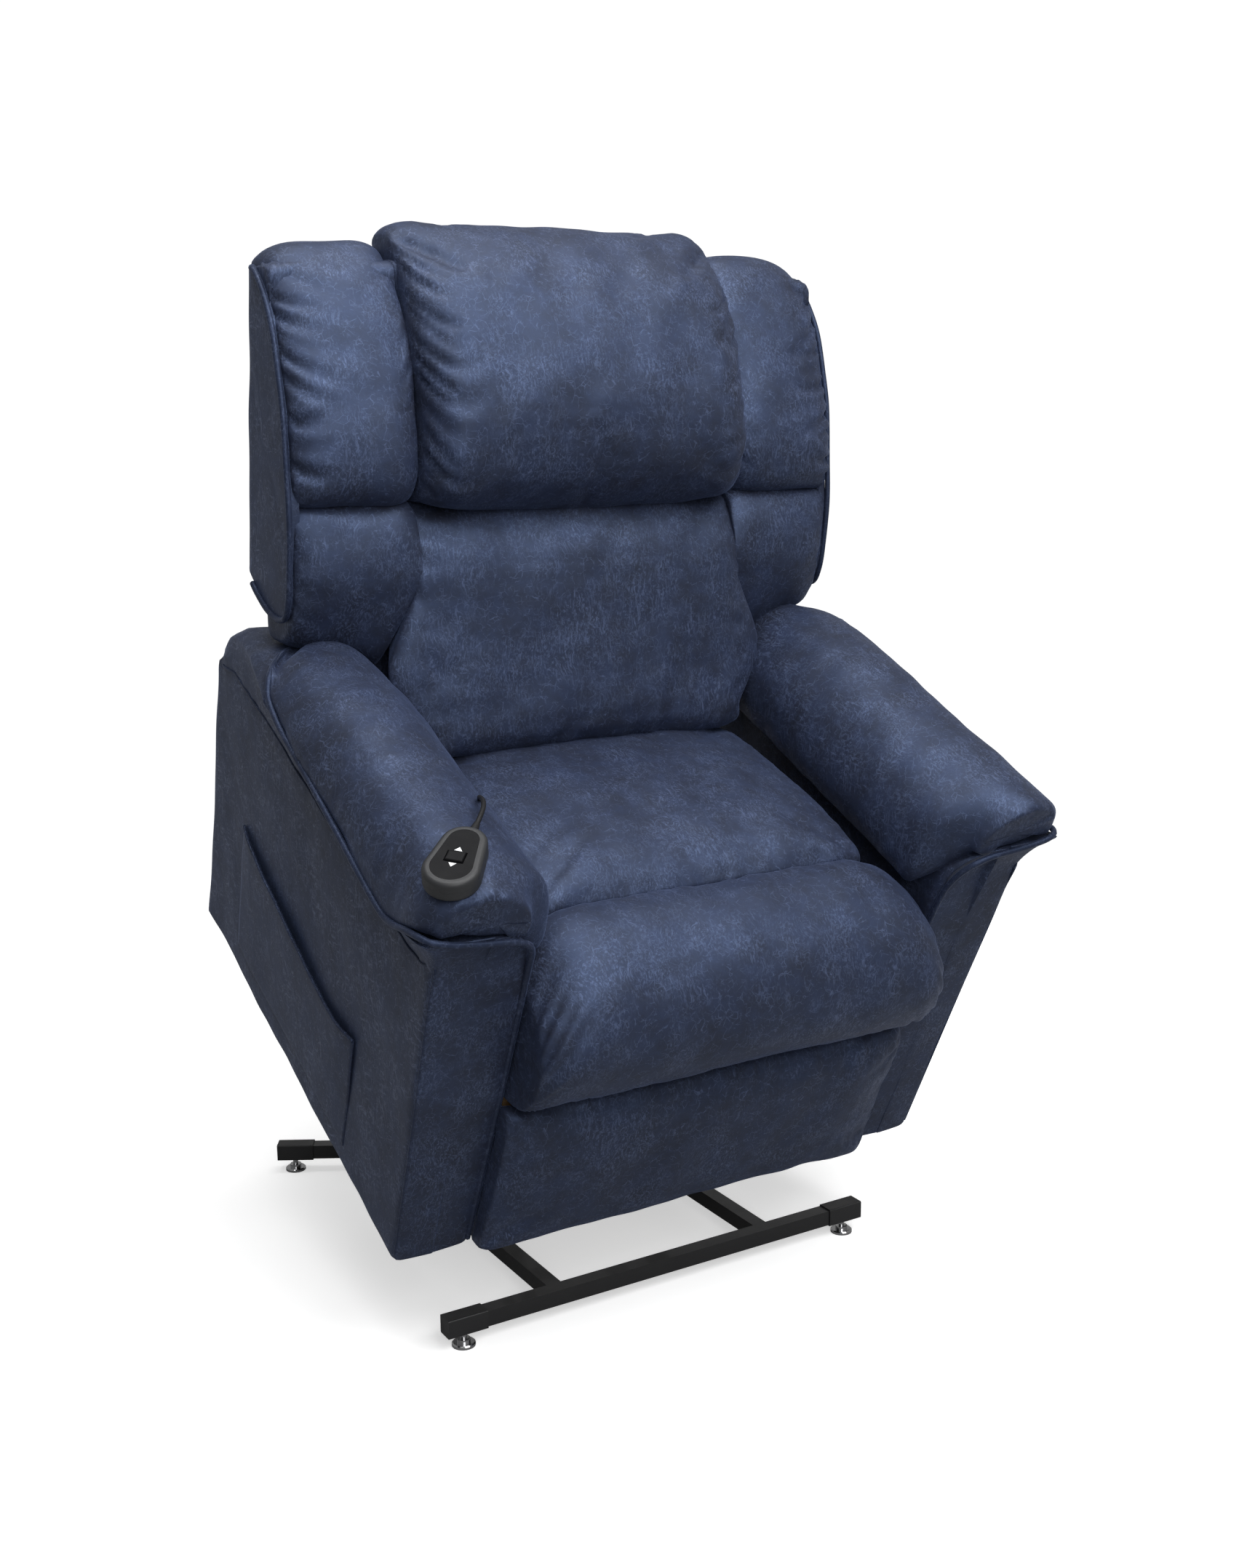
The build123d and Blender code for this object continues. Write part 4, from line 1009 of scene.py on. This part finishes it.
# ---------------- handset cord
ROUTE = [(-344, 120, 681), (-336, 144, 668), (-323, 164, 650), (-307, 178, 628), (-290, 189, 603)]
ROUTE += [(-271, 197, 578), (-260, 203, 550), (-256.5, 208, 521), (-258, 211, 492), (-265, 213, 464)]
ROUTE += [(-274, 214, 438), (-280.6, 214.2, 412), (-281, 214, 386)]


def handset(p):
    """A point of the handset, whose underside is z = 0 and whose cord leaves along +y."""
    p = np.asarray(p, float)
    c, s = math.cos(HANDSET_TURN), math.sin(HANDSET_TURN)
    x, y, z = p[..., 0] * c - p[..., 1] * s, p[..., 0] * s + p[..., 1] * c, p[..., 2]
    c, s = math.cos(HANDSET_TIP), math.sin(HANDSET_TIP)
    return chair(np.stack((x * c + z * s, y, z * c - x * s), -1) + HANDSET_AT)


def make_cord():
    points = np.vstack((handset([(0, 68.6, 11), (0, 93.6, 11)]), chair(ROUTE)))
    data = bpy.data.curves.new("handset_cord_line", "CURVE")
    data.dimensions = "3D"
    data.bevel_depth, data.bevel_resolution, data.resolution_u = 0.003, 4, 12
    spline = data.splines.new("NURBS")
    spline.points.add(len(points) - 1)
    for q, p in zip(spline.points, points):
        q.co = (*p, 1.0)
    spline.order_u = 3
    spline.use_endpoint_u = True
    data.materials.append(RUBBER)
    obj = bpy.data.objects.new("handset_cord_line", data)
    bpy.context.collection.objects.link(obj)
    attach(obj, "chassis")
    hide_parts("handset_cord")


make_cord()


def make_arrows():
    """Two plain triangles printed on the face beside the rocker, one for up and one for down."""
    for name, y, tip in (("face_arrow_up", 6.0, 1), ("face_arrow_down", -21.0, -1)):
        flat = [(-4.6, y - 3.2 * tip), (4.6, y - 3.2 * tip), (0, y + 3.2 * tip)]
        verts = handset([(a, b, z) for z in (25.7, 25.9) for a, b in flat])
        faces = [(0, 2, 1), (3, 4, 5), (0, 1, 4, 3), (1, 2, 5, 4), (2, 0, 3, 5)]
        add_mesh(name, verts, faces, WHITE, "chassis", smooth=False)


make_arrows()


# ---------------- stage
def make_stage():
    size = 60.0
    mesh = bpy.data.meshes.new("floor")
    corners = [(-size, -size, 0), (size, -size, 0), (size, size, 0), (-size, size, 0)]
    mesh.from_pydata(corners, [], [(0, 1, 2, 3)])
    m = Nodes("floor_white")
    seen = m.node("LightPath").outputs["Is Camera Ray"]
    m.set(Base_Color=m.mix(seen, (0.30, 0.30, 0.30), (0.92, 0.92, 0.92)), Roughness=0.95)
    m.bsdf.inputs["Emission Color"].default_value = (1.0, 1.0, 1.0, 1.0)
    m.set(Emission_Strength=m.math("MULTIPLY", seen, 0.46))
    reach = m.node("VectorMath", {0: m.coord}, operation="LENGTH").outputs[1]
    m.set(Alpha=m.ramp(reach, 1.7, 2.8, 1.0, 0.0))
    mesh.materials.append(m.mat)
    floor = bpy.data.objects.new("floor", mesh)
    bpy.context.collection.objects.link(floor)
    world = bpy.data.worlds.new("world")
    world.use_nodes = True
    tree = world.node_tree
    background = tree.nodes["Background"]
    background.inputs[0].default_value = (1, 1, 1, 1)
    ray = tree.nodes.new("ShaderNodeLightPath")
    level = tree.nodes.new("ShaderNodeMapRange")
    level.inputs[3].default_value, level.inputs[4].default_value = 0.30, 1.05
    tree.links.new(ray.outputs["Is Camera Ray"], level.inputs[0])
    tree.links.new(level.outputs[0], background.inputs[1])
    bpy.context.scene.world = world
    key, top = ("key", (0.5, -2.1, 3.0), 2.0, 66), ("top", (-0.2, -0.5, 3.6), 2.6, 88)
    front = ("front", (-1.2, -3.8, 2.2), 2.0, 58)
    for name, place, width, power in (key, top, front):
        data = bpy.data.lights.new(name, "AREA")
        data.size, data.energy = width, power
        lamp = bpy.data.objects.new(name, data)
        aim = np.array((0.0, 0.0, 0.7)) - np.array(place)
        z = -aim / np.linalg.norm(aim)
        x = np.cross((0, 0, 1), z)
        x /= np.linalg.norm(x)
        turn = np.eye(4)
        turn[:3, 0], turn[:3, 1], turn[:3, 2], turn[:3, 3] = x, np.cross(z, x), z, place
        bpy.context.collection.objects.link(lamp)
        lamp.matrix_world = Matrix(turn.tolist())


make_stage()
view = bpy.context.scene.view_settings
view.view_transform, view.look, view.exposure, view.gamma = "Standard", "None", 0.0, 1.0
